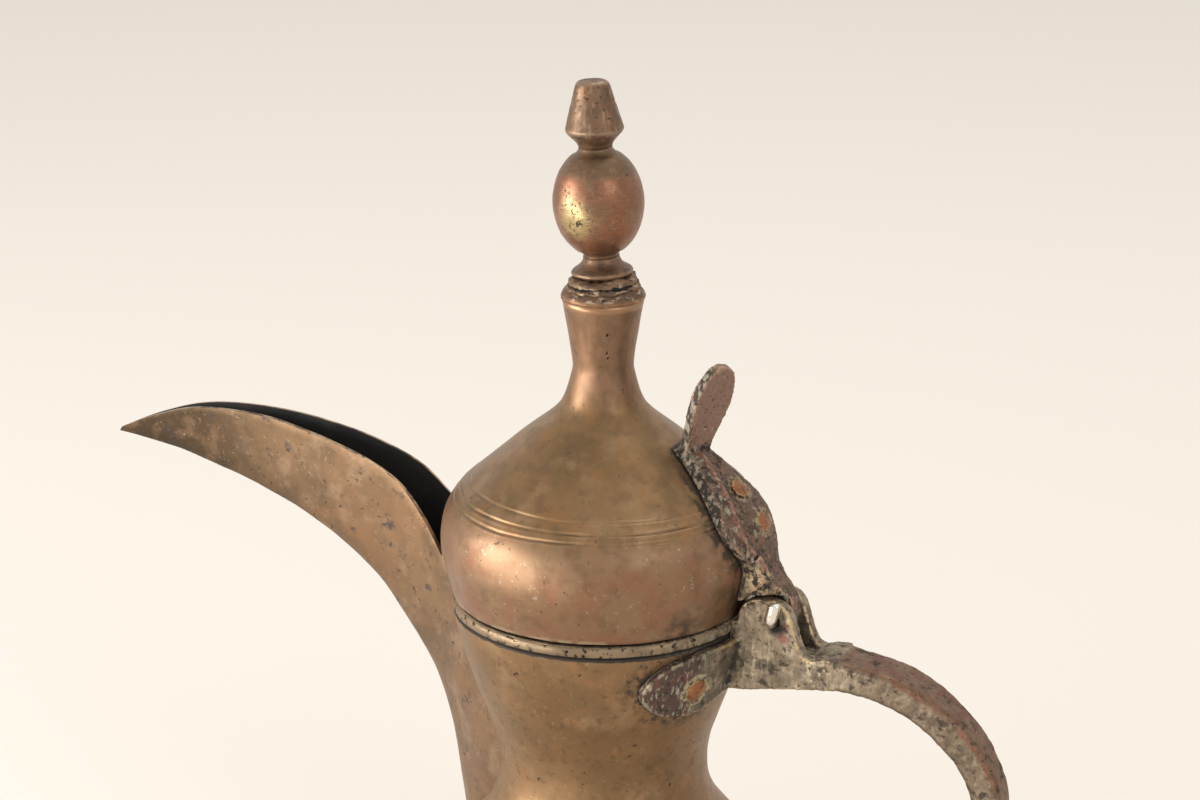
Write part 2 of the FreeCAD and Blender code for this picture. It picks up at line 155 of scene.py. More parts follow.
def meshPiece(bm, name):
    mesh = bpy.data.meshes.new(name)
    bm.to_mesh(mesh)
    bm.free()
    return addObject(name, mesh)


def turnedMesh(loop, steps=turnSteps):
    # a closed outline of (radius, height) spun once round the upright axis
    bm = bmesh.new()
    verts = [bm.verts.new((r, 0, z)) for r, z in loop]
    edges = [bm.edges.new((a, b)) for a, b in zip(verts, verts[1:])]
    if loop[0][0] > 1e-4 or loop[-1][0] > 1e-4:
        edges.append(bm.edges.new((verts[-1], verts[0])))
    bmesh.ops.spin(
        bm, geom=verts + edges, cent=(0, 0, 0), axis=(0, 0, 1), dvec=(0, 0, 0),
        angle=math.tau, steps=steps, use_merge=True, use_normal_flip=False, use_duplicate=False,
    )
    bmesh.ops.remove_doubles(bm, verts=bm.verts, dist=1e-4)
    bmesh.ops.recalc_face_normals(bm, faces=bm.faces)
    return bm


def ripple(place, share=0.35, finer=2.7):
    return noise.noise(place) + share * noise.noise(place * finer)


def dentRound(bm, depth, size, seed):
    # hammer marks that push both faces of a wall the same way, calm near the axis
    for v in bm.verts:
        radius = math.hypot(v.co.x, v.co.y)
        if radius < 1e-3:
            continue
        outwards = Vector((v.co.x / radius, v.co.y / radius, 0))
        place = v.co / size + Vector((seed, seed, seed))
        v.co += outwards * ripple(place) * depth * min(radius / axisCalm, 1.0)


def moveVerts(bm, rule):
    # every point moves by its rule, worked out before any has moved
    bm.normal_update()
    for v, move in [(v, rule(v)) for v in bm.verts]:
        v.co += move


def dentSkin(bm, depth, size, seed):
    # roughness along the normals of a solid piece
    shift = Vector((seed, -seed, seed))
    moveVerts(bm, lambda v: v.normal * ripple(v.co / size + shift, 0.4, 2.9) * depth)


def innerFaces(bm):
    # faces that look towards the axis take the second finish
    bm.normal_update()
    for face in bm.faces:
        middle = face.calc_center_median()
        if face.normal.xy.dot(middle.xy) < -0.05 * middle.xy.length:
            face.material_index = 1


def markWear(mesh):
    # how far each point stands proud of its neighbours: high on ridges, low in creases
    bm = bmesh.new()
    bm.from_mesh(mesh)
    bm.normal_update()
    near = [[e.other_vert(v).index for e in v.link_edges] for v in bm.verts]
    bm.verts.ensure_lookup_table()
    bend = []
    for v, around in zip(bm.verts, near):
        places = [bm.verts[i].co for i in around]
        count = max(len(places), 1)
        reach = sum((c - v.co).length for c in places) / count
        bend.append((v.co - sum(places, Vector()) / count).dot(v.normal) / max(reach, 1e-9))
    bm.free()
    for _ in range(wearShape["rounds"]):
        bend = [
            0.5 * own + 0.5 * sum(bend[i] for i in around) / max(len(around), 1) for own, around in zip(bend, near)
        ]
    layer = mesh.attributes.new("wear", "FLOAT", "POINT")
    layer.data.foreach_set("value", [min(max(wearShape["even"] + b * wearShape["gain"], 0.0), 1.0) for b in bend])


def markPiece(piece, name, rule):
    # one value per point, from its place in millimetres and its normal
    mesh = piece.data
    layer = mesh.attributes.new(name, "FLOAT", "POINT")
    layer.data.foreach_set("value", [rule(v.co / mm, v.normal) for v in mesh.vertices])


def nearRule(node, reach):
    # 1 against a frame part, falling off away from it
    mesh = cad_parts[node].data
    tree = BVHTree.FromPolygons([v.co for v in mesh.vertices], [tuple(f.vertices) for f in mesh.polygons])

    def rule(place, normal):
        found = tree.find_nearest(place * mm, 6 * reach * mm)
        return math.exp(-found[3] / (reach * mm)) if found[0] is not None else 0.0
    return rule


def finishPiece(bm, name, finishNames, body, slot, node, wear=False, scale=mm):
    # a piece that rides on a body and stands for a frame part
    bmesh.ops.scale(bm, vec=(scale, scale, scale), verts=bm.verts)
    piece = meshPiece(bm, name)
    mesh = piece.data
    for face in mesh.polygons:
        face.use_smooth = True
    if wear:
        markWear(mesh)
    for finish in finishNames:
        mesh.materials.append(metals[finish])
    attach(piece, body)
    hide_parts(node)
    return piece


def takeMesh(piece):
    # the modifiers' result as a bmesh; the temporary piece goes
    bpy.context.view_layer.update()
    result = bpy.data.meshes.new_from_object(piece.evaluated_get(bpy.context.evaluated_depsgraph_get()))
    bm = bmesh.new()
    bm.from_mesh(result)
    bpy.data.meshes.remove(result)
    bpy.data.objects.remove(piece)
    return bm


def coneTool(place, direction, near, far, depth, sides):
    # a tapered cutter in metres, its middle at a place
    tool = bmesh.new()
    bmesh.ops.create_cone(tool, segments=sides, radius1=near * mm, radius2=far * mm, depth=depth * mm, cap_ends=True)
    stand = Matrix.Translation(place * mm) @ direction.to_track_quat("Z", "Y").to_matrix().to_4x4()
    bmesh.ops.transform(tool, matrix=stand, verts=tool.verts)
    return tool


def cutMesh(bm, tools):
    # the shape in metres, less the shapes of the tools
    toMetres(bm)
    blank = meshPiece(bm, "blank")
    cutters = [meshPiece(tool, "tool") for tool in tools]
    for cutter in cutters:
        addModifier(blank, "BOOLEAN", operation="DIFFERENCE", solver="EXACT", object=cutter)
    bm = takeMesh(blank)
    for cutter in cutters:
        bpy.data.objects.remove(cutter)
    return bm


def forgedMesh(nodes, voxel, rounds, chips, shape=None):
    # a copy of frame parts, closed up as one, given even faces and softened edges
    bm = bmesh.new()
    for node in nodes:
        part = bmesh.new()
        part.from_mesh(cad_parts[node].data)
        bmesh.ops.scale(part, vec=(1 / mm, 1 / mm, 1 / mm), verts=part.verts)
        bmesh.ops.remove_doubles(part, verts=part.verts, dist=0.002)
        if shape:
            shape(node, part)
        joined = bpy.data.meshes.new("part." + node)
        part.to_mesh(joined)
        part.free()
        bm.from_mesh(joined)
        bpy.data.meshes.remove(joined)
    rough = meshPiece(bm, "rough")
    addModifier(rough, "REMESH", mode="VOXEL", voxel_size=voxel)
    bm = takeMesh(rough)
    for _ in range(rounds):
        bmesh.ops.smooth_vert(bm, verts=bm.verts, factor=0.5, use_axis_x=True, use_axis_y=True, use_axis_z=True)
    for chip in chips:
        dentSkin(bm, *chip)
    return bm


def splitAcross(bm, x, keepFar):
    # one side of an upright cut, closed with a flat face whose rim stays crisp
    half = bm.copy()
    cut = bmesh.ops.bisect_plane(
        half, geom=half.verts[:] + half.edges[:] + half.faces[:], dist=1e-5, plane_co=(x, 0, 0), plane_no=(1, 0, 0),
        clear_inner=keepFar, clear_outer=not keepFar,
    )["geom_cut"]
    rim = only(bmesh.types.BMEdge, cut)
    bmesh.ops.holes_fill(half, edges=rim, sides=0)
    for edge in rim:
        edge.smooth = False
    return half


# Small helpers for nodes

def plug(tree, value, socket):
    if isinstance(value, bpy.types.NodeSocket):
        tree.links.new(value, socket)
    elif isinstance(value, (tuple, list)) and socket.type == "RGBA":
        socket.default_value = (*value, 1.0)
    else:
        socket.default_value = value


def newNode(tree, kind, sockets, **settings):
    node = tree.nodes.new("ShaderNode" + kind)
    for key, value in settings.items():
        setattr(node, key, value)
    for socket, value in sockets.items():
        plug(tree, value, node.inputs[socket])
    return node


def mathNode(tree, operation, *values):
    return newNode(tree, "Math", dict(enumerate(values)), operation=operation).outputs[0]


def vectorNode(tree, operation, a, b):
    return newNode(tree, "VectorMath", {0: a, 1: b}, operation=operation).outputs["Value"]


def noiseNode(tree, where, scale, detail=5.0, rough=0.5):
    return newNode(tree, "TexNoise", {"Vector": where, "Scale": scale, "Detail": detail, "Roughness": rough}).outputs[0]


def rangeMask(tree, value, low, high):
    sockets = {"Value": value, "From Min": low, "From Max": high}
    return newNode(tree, "MapRange", sockets, interpolation_type="SMOOTHSTEP").outputs["Result"]


mixSockets = {"RGBA": (6, 7, 2), "FLOAT": (2, 3, 0)}   # under, top, result


def blend(tree, kind, share, under, top):
    a, b, result = mixSockets[kind]
    return newNode(tree, "Mix", {0: share, a: under, b: top}, data_type=kind).outputs[result]


# Masks, each built when its finish is made; sizes and places are in millimetres
noiseShape = {"cloudRough": 0.58, "cloudShift": (0.01, -0.013, 0.007), "spotDetail": 6.0, "spotGrain": 2.2}
coatRough = 0.34
toHandle, toSpout, toNear = (1, 0, 0), (-1, 0, 0), (-0.3, -0.95, 0)


def cloud(size, low, high, shift=0, stretch=(1, 1, 1)):
    # patches of a noise
    def build(tree, where):
        sockets = {"Vector": where, "Location": [shift * s for s in noiseShape["cloudShift"]], "Scale": stretch}
        moved = newNode(tree, "Mapping", sockets).outputs[0]
        return rangeMask(tree, noiseNode(tree, moved, 1 / (size * mm), rough=noiseShape["cloudRough"]), low, high)
    return build


def spot(centre, radius, ragged=0.5):
    # one patch round a place, with a ragged edge
    def build(tree, where):
        away = vectorNode(tree, "DISTANCE", where, Vector(centre) * mm)
        edge = noiseNode(tree, where, noiseShape["spotGrain"] / (radius * mm), detail=noiseShape["spotDetail"])
        sway = mathNode(tree, "MULTIPLY_ADD", edge, ragged * radius * mm * 2, away)
        return rangeMask(tree, sway, radius * mm * (1 + ragged), radius * mm * (0.25 + ragged))
    return build


def band(low, high, soft, ragged=0.0, size=6.0):
    # between two heights, with soft edges that may wander
    def build(tree, where):
        height = newNode(tree, "SeparateXYZ", {0: where}).outputs[2]
        if ragged:
            height = mathNode(tree, "MULTIPLY_ADD", noiseNode(tree, where, 1 / (size * mm)), ragged * mm, height)
        shift = ragged * 0.5
        rise = rangeMask(tree, height, (low - soft + shift) * mm, (low + shift) * mm)
        fall = rangeMask(tree, height, (high + soft + shift) * mm, (high + shift) * mm)
        return mathNode(tree, "MULTIPLY", rise, fall)
    return build


def side(direction, low, high):
    # how far along a direction a place lies
    def build(tree, where):
        return rangeMask(tree, vectorNode(tree, "DOT_PRODUCT", where, direction), low * mm, high * mm)
    return build


def mark(name, low, high):
    # from a value kept on the mesh
    def build(tree, where):
        return rangeMask(tree, newNode(tree, "Attribute", {}, attribute_name=name).outputs["Fac"], low, high)
    return build


def over(colour, *masks, **look):
    # a layer laid on through the product of its masks; "rise" is its height in millimetres
    return {"masks": masks, **({"colour": colour} if colour else {}), **look}


def fineGrain(rough, rise):
    return over(None, cloud(0.8, 0.35, 0.75, 29), rough=rough, amount=0.4, rise=rise)


def makeFinish(name, look):
    # a base with layers laid over it
    material = bpy.data.materials.new(name)
    material.use_nodes = True
    tree = material.node_tree
    shader = tree.nodes["Principled BSDF"]
    where = newNode(tree, "TexCoord", {}).outputs["Object"]
    kinds = {"colour": "RGBA", "rough": "FLOAT", "metal": "FLOAT"}
    surface = {part: look[part] for part in kinds}
    height = 0.0
    for layer in look["layers"]:
        share = layer.get("amount", 1.0)
        for mask in layer["masks"]:
            share = mathNode(tree, "MULTIPLY", mask(tree, where), share)
        for part, kind in kinds.items():
            if part in layer:
                surface[part] = blend(tree, kind, share, surface[part], layer[part])
        if "rise" in layer:
            height = mathNode(tree, "MULTIPLY_ADD", share, layer["rise"] * mm, height)
    plug(tree, surface["colour"], shader.inputs["Base Color"])
    plug(tree, surface["rough"], shader.inputs["Roughness"])
    plug(tree, surface["metal"], shader.inputs["Metallic"])
    shader.inputs["Coat Weight"].default_value = look.get("coat", 0.0)
    shader.inputs["Coat Roughness"].default_value = coatRough
    bump = newNode(tree, "Bump", {"Height": height, "Distance": 1.0, "Strength": 1.0})
    tree.links.new(bump.outputs[0], shader.inputs["Normal"])
    return material


finishes = {}
finishes["oldBrass"] = {   # the body
    "colour": (0.262, 0.158, 0.08), "rough": 0.46, "metal": 0.92, "coat": 0.1, "layers": [
        over((0.215, 0.126, 0.062), cloud(40, 0.42, 0.62), rough=0.42),
        over((0.32, 0.205, 0.112), cloud(24, 0.5, 0.68, 3), rough=0.48),
        over((0.205, 0.135, 0.07), cloud(10, 0.46, 0.66, 7), amount=0.6),
        over((0.32, 0.172, 0.082), cloud(9, 0.54, 0.7, 37), amount=0.6),
        over((0.15, 0.09, 0.048), cloud(3.4, 0.52, 0.7, 11), rough=0.55, amount=0.65, rise=-0.02),
        over((0.06, 0.036, 0.022), cloud(3.0, 0.66, 0.7, 19), rough=0.7, amount=0.9, rise=-0.05),
        over((0.42, 0.31, 0.2), cloud(1.4, 0.6, 0.7, 23), amount=0.4, rise=0.012),
        over(None, cloud(0.9, 0.35, 0.75, 29), rough=0.58, amount=0.4, rise=0.014),
        # painted shade: near-black band over the groove under the mouth ring, where the seam lies in shadow
        over((0.015, 0.012, 0.01), band(156.2, 158, 0.6, 1.4, 4), rough=0.85, metal=0.2, amount=0.9),
        over((0.07, 0.055, 0.04), mark("near", 0.06, 0.42), cloud(3.2, 0.46, 0.58, 43), rough=0.7, amount=0.8),
        # painted shadow: near black within about a millimetre of the bracket, where it sits on the body
        over((0.018, 0.014, 0.011), mark("near", 0.74, 0.95), rough=0.85, metal=0.2),
    ],
}
finishes["oliveBrass"] = {   # the lid
    "colour": (0.262, 0.156, 0.074), "rough": 0.44, "metal": 0.93, "coat": 0.22, "layers": [
        over((0.205, 0.124, 0.056), cloud(28, 0.42, 0.62, 2), rough=0.4),
        over((0.31, 0.196, 0.104), cloud(17, 0.48, 0.66, 5), rough=0.46),
        over((0.3, 0.152, 0.064), cloud(13, 0.5, 0.66, 45), amount=0.7),
        over((0.175, 0.118, 0.055), cloud(11, 0.52, 0.66, 61), amount=0.6),
        over((0.27, 0.162, 0.098), band(157, 192, 5, 7, 16), rough=0.47, amount=0.75),
        over((0.255, 0.118, 0.068), band(157, 186, 6, 10, 12), cloud(13, 0.46, 0.66, 31), amount=0.75),
        over((0.25, 0.144, 0.088), band(234, 266, 10, 8, 14), rough=0.52, amount=0.85),
        over((0.175, 0.105, 0.056), cloud(6, 0.48, 0.68, 9), amount=0.65, rise=-0.01),
        over((0.15, 0.088, 0.05), band(230, 268, 10), cloud(3.2, 0.5, 0.64, 53, (1, 1, 0.35)), amount=0.5),
        over((0.05, 0.036, 0.028), cloud(2.2, 0.64, 0.72, 13), rough=0.7, amount=0.7, rise=-0.05),
        over((0.42, 0.34, 0.25), cloud(15, 0.48, 0.56, 67), cloud(1.5, 0.6, 0.7, 17), band(166, 192, 8),
             amount=0.7, rise=0.012),
        fineGrain(0.56, 0.012),
        over((0.06, 0.044, 0.034), spot((44, -30, 163), 12), cloud(5, 0.36, 0.56, 71), rough=0.6, amount=0.8),
        over((0.055, 0.044, 0.03), mark("near", 0.05, 0.4), cloud(3.4, 0.42, 0.56, 43), band(150, 205, 12),
             rough=0.7, amount=0.85),
        # painted shadow: near black within about a millimetre of the leaf, where it lies on the lid
        over((0.012, 0.01, 0.009), mark("near", 0.66, 0.92), rough=0.85, metal=0.2),
        over((0.045, 0.03, 0.02), mark("wear", 0.47, 0.36), band(150, 204, 2), rough=0.8, metal=0.5),
        over((0.52, 0.41, 0.28), mark("wear", 0.545, 0.68), cloud(8, 0.44, 0.56, 41), band(150, 204, 2),
             rough=0.4, amount=0.85),
        over((0.33, 0.19, 0.105), band(258.8, 262, 0.5), rough=0.36, amount=0.8),
    ],
}
finishes["capBrass"] = {   # the flared top of the neck
    "colour": (0.24, 0.125, 0.066), "rough": 0.44, "metal": 0.9, "coat": 0.12, "layers": [
        over((0.18, 0.095, 0.052), cloud(6, 0.44, 0.62), rough=0.5),
        over((0.36, 0.23, 0.13), cloud(2.6, 0.52, 0.64, 4), amount=0.7),
        over((0.15, 0.092, 0.06), band(262.4, 268, 0.8, 1.6, 3), rough=0.62),
        over((0.38, 0.29, 0.2), band(262.4, 268, 0.8), cloud(3.0, 0.52, 0.64, 9, (1, 1, 2)),
             rough=0.65, metal=0.6, rise=0.05),
        over((0.014, 0.011, 0.01), band(262.8, 268, 0.5), cloud(2.4, 0.56, 0.66, 14, (1, 1, 2)),
             rough=0.9, metal=0.1, rise=-0.08),
        over((0.56, 0.38, 0.23), band(259.5, 260.6, 0.4), mark("wear", 0.5, 0.6), rough=0.32, amount=0.9),
    ],
}
finishes["spoutBrass"] = {   # outside of the spout
    "colour": (0.225, 0.14, 0.08), "rough": 0.47, "metal": 0.92, "coat": 0.06, "layers": [
        over((0.25, 0.146, 0.08), cloud(34, 0.42, 0.62, 4), rough=0.45),
        over((0.165, 0.107, 0.063), cloud(20, 0.48, 0.66, 8), rough=0.5),
        over((0.32, 0.22, 0.143), cloud(12, 0.5, 0.66, 58), amount=0.65),
        # painted shade: the spout grows darker towards the tip
        over((0.048, 0.032, 0.018), side(toSpout, 104, 160), amount=0.88),
        over((0.185, 0.115, 0.066), cloud(8, 0.46, 0.66, 12), amount=0.65),
        over((0.06, 0.056, 0.058), cloud(6.0, 0.6, 0.68, 15), cloud(1.6, 0.36, 0.56, 18),
             rough=0.6, amount=0.85, rise=-0.04),
        over((0.045, 0.038, 0.036), cloud(2.4, 0.62, 0.7, 21), rough=0.7, amount=0.8, rise=-0.05),
        over((0.44, 0.33, 0.225), cloud(1.3, 0.6, 0.7, 25), amount=0.4, rise=0.012),
        fineGrain(0.58, 0.013),
    ],
}
finishes["wornEdge"] = {   # the spout's bare top edge
    "colour": (0.42, 0.29, 0.18), "rough": 0.36, "metal": 0.95, "layers": [
        over((0.13, 0.095, 0.065), cloud(7, 0.44, 0.6), rough=0.55),
        over((0.06, 0.045, 0.035), cloud(1.5, 0.55, 0.7, 5), rise=-0.03),
    ],
}
finishes["spoutInsideShade"] = {   # inside the spout: painted shade, near black
    "colour": (0.006, 0.005, 0.005), "rough": 0.75, "metal": 0.0, "layers": [
        over((0.014, 0.011, 0.009), cloud(9, 0.5, 0.72), rough=0.65),
        over((0.004, 0.004, 0.004), cloud(1.6, 0.45, 0.75, 3), rise=0.04),
    ],
}
finishes["oldTin"] = {   # tinned inside of the body and the lid
    "colour": (0.12, 0.1, 0.08), "rough": 0.55, "metal": 0.75, "layers": [
        over((0.06, 0.045, 0.034), cloud(20, 0.4, 0.65), rough=0.6),
        over((0.03, 0.023, 0.018), cloud(5, 0.5, 0.72, 3), rough=0.7, rise=0.03),
        over((0.22, 0.195, 0.155), cloud(1.5, 0.58, 0.75, 6), amount=0.5, rise=0.02),
    ],
}
finishes["ringGrey"] = {   # the mouth ring
    "colour": (0.28, 0.205, 0.13), "rough": 0.46, "metal": 0.88, "layers": [
        over((0.205, 0.15, 0.098), cloud(12, 0.42, 0.64), rough=0.52),
        over((0.31, 0.23, 0.145), cloud(4, 0.52, 0.7, 3), amount=0.7),
        over((0.02, 0.017, 0.014), cloud(1.8, 0.54, 0.66, 9), rough=0.8, rise=-0.08),
        over((0.24, 0.215, 0.155), cloud(1.4, 0.54, 0.66, 13), side(toHandle, 12, 40),
             rough=0.8, metal=0.3, rise=0.08),
        over((0.27, 0.245, 0.18), mark("near", 0.06, 0.45), cloud(1.8, 0.48, 0.58, 13),
             rough=0.8, metal=0.3, rise=0.08),
        over((0.44, 0.36, 0.26), band(160.75, 162, 0.25), cloud(7, 0.38, 0.52, 41), rough=0.38),
        # painted shade: near-black band at the ring's foot, in the groove where it meets the body
        over((0.012, 0.01, 0.008), band(156, 157.5, 0.4, 0.8, 4), rough=0.9, metal=0.2),
    ],
}
finishes["forkCopper"] = {   # bracket and handle
    "colour": (0.278, 0.22, 0.152), "rough": 0.5, "metal": 0.8, "layers": [
        over((0.24, 0.18, 0.122), cloud(18, 0.46, 0.64), rough=0.55),
        over((0.36, 0.298, 0.21), cloud(9, 0.46, 0.62, 4), rough=0.48),
        over((0.12, 0.094, 0.07), cloud(8, 0.54, 0.66, 24), rough=0.6),
        over((0.16, 0.125, 0.09), cloud(1.3, 0.46, 0.62, 34, (1, 1, 0.18)), amount=0.55, rise=-0.02),
        over((0.48, 0.41, 0.3), cloud(1.3, 0.52, 0.66, 64, (1, 1, 0.18)), amount=0.5, rise=0.02),
        over((0.215, 0.16, 0.112), side(toHandle, 82, 98), amount=0.75),
        over((0.11, 0.086, 0.064), side(toHandle, 80, 90), cloud(3.2, 0.46, 0.6, 93), amount=0.7, rise=-0.03),
        over((0.34, 0.27, 0.2), side(toHandle, 80, 90), cloud(2.4, 0.52, 0.64, 97), amount=0.6, rise=0.03),
        over((0.185, 0.105, 0.066), mark("outer", 0.55, 0.8), rough=0.42, amount=0.94),
        over((0.225, 0.142, 0.094), mark("outer", 0.55, 0.8), cloud(10, 0.48, 0.64, 8), amount=0.8),
        over((0.19, 0.072, 0.045), mark("outer", 0.55, 0.8), cloud(6, 0.5, 0.64, 48), amount=0.75),
        over((0.11, 0.066, 0.046), mark("outer", 0.55, 0.8), cloud(3, 0.5, 0.66, 88), amount=0.6, rise=-0.015),
        over((0.27, 0.095, 0.058), mark("outer", 0.28, 0.42), mark("outer", 0.72, 0.56), cloud(9, 0.44, 0.58, 91),
             side(toHandle, 88, 96), rough=0.34, amount=0.75),
        over((0.12, 0.098, 0.074), spot((74, -9, 145), 16), cloud(7, 0.38, 0.58, 99), amount=0.75),
        over((0.12, 0.1, 0.075), side(toHandle, 57.5, 53.0), cloud(3, 0.4, 0.56, 101), amount=0.7),
        over((0.095, 0.058, 0.05), side(toNear, 6, 13), amount=0.9),
        over((0.18, 0.075, 0.062), side(toNear, 6, 13), cloud(7, 0.5, 0.62, 18), rough=0.45, amount=0.8),
        over((0.36, 0.35, 0.26), side(toNear, 4, 11), cloud(1.9, 0.54, 0.64, 12, (1.5, 1.5, 0.45)),
             rough=0.85, metal=0.2, amount=0.85, rise=0.08),
        over((0.4, 0.36, 0.22), mark("rivet", 0.26, 0.46), cloud(1.8, 0.42, 0.54, 47),
             rough=0.85, metal=0.2, amount=0.85, rise=0.08),
        over((0.28, 0.085, 0.085), spot((66.6, -9, 162.0), 2.8), amount=0.7),
        over((0.28, 0.085, 0.085), spot((66.8, -9, 158.6), 2.6), amount=0.7),
        over((0.055, 0.044, 0.036), cloud(3.4, 0.56, 0.66, 62), rough=0.7, amount=0.75, rise=-0.05),
        over((0.56, 0.48, 0.34), spot((78, -8, 150), 8), cloud(1.8, 0.5, 0.62, 16),
             rough=0.75, metal=0.3, amount=0.8, rise=0.06),
        over((0.022, 0.018, 0.017), cloud(1.3, 0.6, 0.7, 76), rough=0.8, amount=0.8, rise=-0.06),
        over((0.56, 0.42, 0.25), mark("wear", 0.56, 0.7), cloud(6, 0.38, 0.56, 20), side(toHandle, 92, 82),
             side(toNear, 6, -2), rough=0.34, metal=0.95),
        over((0.33, 0.29, 0.205), mark("wear", 0.54, 0.68), cloud(3, 0.42, 0.56, 21), side(toNear, 2, 8),
             rough=0.6, metal=0.6, amount=0.8),
        over((0.02, 0.017, 0.015), mark("wear", 0.47, 0.34), rough=0.85, metal=0.2, amount=0.95),
        # painted shade: near-black spot in the sunk hole round the pin
        over((0.006, 0.005, 0.005), spot((64.1, -8.6, 161.9), 4.4, 0.2), rough=0.9, metal=0.0),
        fineGrain(0.66, 0.02),
    ],
}
finishes["leafCopper"] = {   # hinge leaf and thumb tongue
    "colour": (0.165, 0.108, 0.078), "rough": 0.46, "metal": 0.86, "layers": [
        over((0.125, 0.085, 0.065), cloud(13, 0.44, 0.62), rough=0.5),
        over((0.205, 0.118, 0.08), cloud(7, 0.5, 0.64, 4), rough=0.42),
        over((0.215, 0.098, 0.072), mark("ridge", 0.3, 0.85), rough=0.4),
        over((0.3, 0.17, 0.12), mark("ridge", 0.35, 0.9), cloud(4, 0.5, 0.64, 83, (1, 1, 0.4)), amount=0.6),
        over((0.235, 0.138, 0.102), band(217, 250, 3, 3, 8), rough=0.4, amount=0.95),
        over((0.06, 0.046, 0.038), cloud(4.0, 0.52, 0.64, 8), band(150, 214, 4), rough=0.65, amount=0.75, rise=-0.04),
        over((0.38, 0.29, 0.17), mark("rivet", 0.26, 0.46), cloud(1.8, 0.42, 0.56, 47),
             rough=0.8, metal=0.3, amount=0.8, rise=0.06),
        over((0.4, 0.35, 0.25), cloud(2.6, 0.6, 0.68, 12), rough=0.75, metal=0.4, amount=0.6, rise=0.05),
        over((0.04, 0.034, 0.028), mark("flank", 0.3, 0.6), rough=0.7, metal=0.5, amount=0.92),
        over((0.37, 0.335, 0.25), mark("flank", 0.1, 0.45), cloud(1.6, 0.5, 0.62, 33, (1, 1, 0.32)),
             rough=0.75, metal=0.3, amount=0.8, rise=0.06),
        over((0.6, 0.45, 0.26), spot((58, -9, 176), 9), cloud(2.6, 0.46, 0.56, 51), rough=0.36, amount=0.85),
        over((0.5, 0.46, 0.34), spot((30, -9, 214), 8), cloud(2.4, 0.44, 0.56, 57),
             rough=0.8, metal=0.2, amount=0.85),
        over((0.018, 0.015, 0.014), cloud(1.2, 0.6, 0.7, 16), band(150, 214, 4), rough=0.8, amount=0.9, rise=-0.06),
        over((0.4, 0.26, 0.18), mark("wear", 0.57, 0.72), cloud(5, 0.38, 0.58, 20), rough=0.36, metal=0.95),
        over((0.018, 0.015, 0.013), mark("wear", 0.47, 0.34), rough=0.85, metal=0.2, amount=0.95),
        fineGrain(0.6, 0.02),
    ],
}
finishes["copperRivet"] = {   # rivet heads
    "colour": (0.3, 0.13, 0.058), "rough": 0.42, "metal": 0.95, "layers": [
        over((0.21, 0.085, 0.042), cloud(3.0, 0.48, 0.66), rough=0.5, rise=-0.02),
        over((0.48, 0.26, 0.13), cloud(1.1, 0.58, 0.7, 5), rough=0.3, amount=0.6),
        over((0.04, 0.024, 0.018), cloud(0.9, 0.62, 0.72, 9), rough=0.7, rise=-0.04),
        over((0.38, 0.3, 0.18), mark("wear", 0.55, 0.68), rough=0.6, metal=0.6, amount=0.7),
    ],
}
finishes["greySolder"] = {   # solder collar under the finial
    "colour": (0.215, 0.132, 0.082), "rough": 0.55, "metal": 0.78, "layers": [
        over((0.12, 0.078, 0.054), cloud(7, 0.46, 0.64), rough=0.65),
        over((0.36, 0.27, 0.18), cloud(3.4, 0.52, 0.64, 5, (1, 1, 2)), metal=0.6, rise=0.05),
        over((0.012, 0.01, 0.008), mark("wear", 0.49, 0.36), rough=0.9, metal=0.1),
        over((0.014, 0.011, 0.009), cloud(2.0, 0.6, 0.7, 9, (1, 1, 2)), rough=0.9, rise=-0.08),
    ],
}
finishes["finialCopper"] = {   # ball and base of the finial
    "colour": (0.262, 0.128, 0.074), "rough": 0.4, "metal": 0.92, "coat": 0.2, "layers": [
        over((0.235, 0.094, 0.05), cloud(14, 0.44, 0.62), rough=0.38),
        over((0.215, 0.132, 0.078), cloud(7, 0.5, 0.66, 4), rough=0.46),
        over((0.165, 0.115, 0.066), band(303, 312, 3, 3, 5), rough=0.5, amount=0.75),
        over((0.44, 0.345, 0.17), spot((-3.4, -13.6, 288.5), 9.0, 0.36), rough=0.34, amount=0.88),
        over((0.045, 0.034, 0.022), spot((-3.2, -13.6, 289.5), 10.5, 0.4), cloud(1.5, 0.56, 0.62, 9),
             rough=0.7, rise=-0.05),
        over((0.135, 0.078, 0.048), cloud(2.2, 0.48, 0.66, 12, (1, 1, 4)), amount=0.55, rise=-0.01),
        over((0.32, 0.21, 0.13), cloud(1.8, 0.55, 0.68, 22), amount=0.4, rise=0.01),
        over((0.045, 0.03, 0.024), cloud(1.3, 0.62, 0.7, 16), rough=0.7, amount=0.8, rise=-0.04),
        over((0.175, 0.108, 0.068), band(262, 275.5, 1.5), rough=0.5, amount=0.85),
        over((0.07, 0.05, 0.038), band(262, 274.5, 1.0), cloud(2.6, 0.5, 0.62, 27), rough=0.7, amount=0.7),
        over((0.29, 0.185, 0.112), mark("wear", 0.62, 0.78), rough=0.36, amount=0.5),
    ],
}
finishes["finialTan"] = {   # the cone on top
    "colour": (0.19, 0.116, 0.07), "rough": 0.52, "metal": 0.88, "coat": 0.12, "layers": [
        over((0.14, 0.088, 0.056), cloud(6, 0.44, 0.6), rough=0.5),
        over((0.225, 0.11, 0.062), cloud(8, 0.5, 0.64, 14), amount=0.7),
        over((0.33, 0.235, 0.165), cloud(2.4, 0.52, 0.64, 4, (1, 1, 0.22)), amount=0.7, rise=0.02),
        over((0.05, 0.036, 0.028), cloud(1.3, 0.58, 0.68, 8), rough=0.7, amount=0.85, rise=-0.04),
        over((0.36, 0.26, 0.18), mark("wear", 0.64, 0.8), rough=0.34, amount=0.6),
        over((0.05, 0.034, 0.026), mark("wear", 0.46, 0.34), rough=0.7, amount=0.8),
        over((0.15, 0.088, 0.05), band(300, 311.5, 1.5), rough=0.5, amount=0.8),
    ],
}
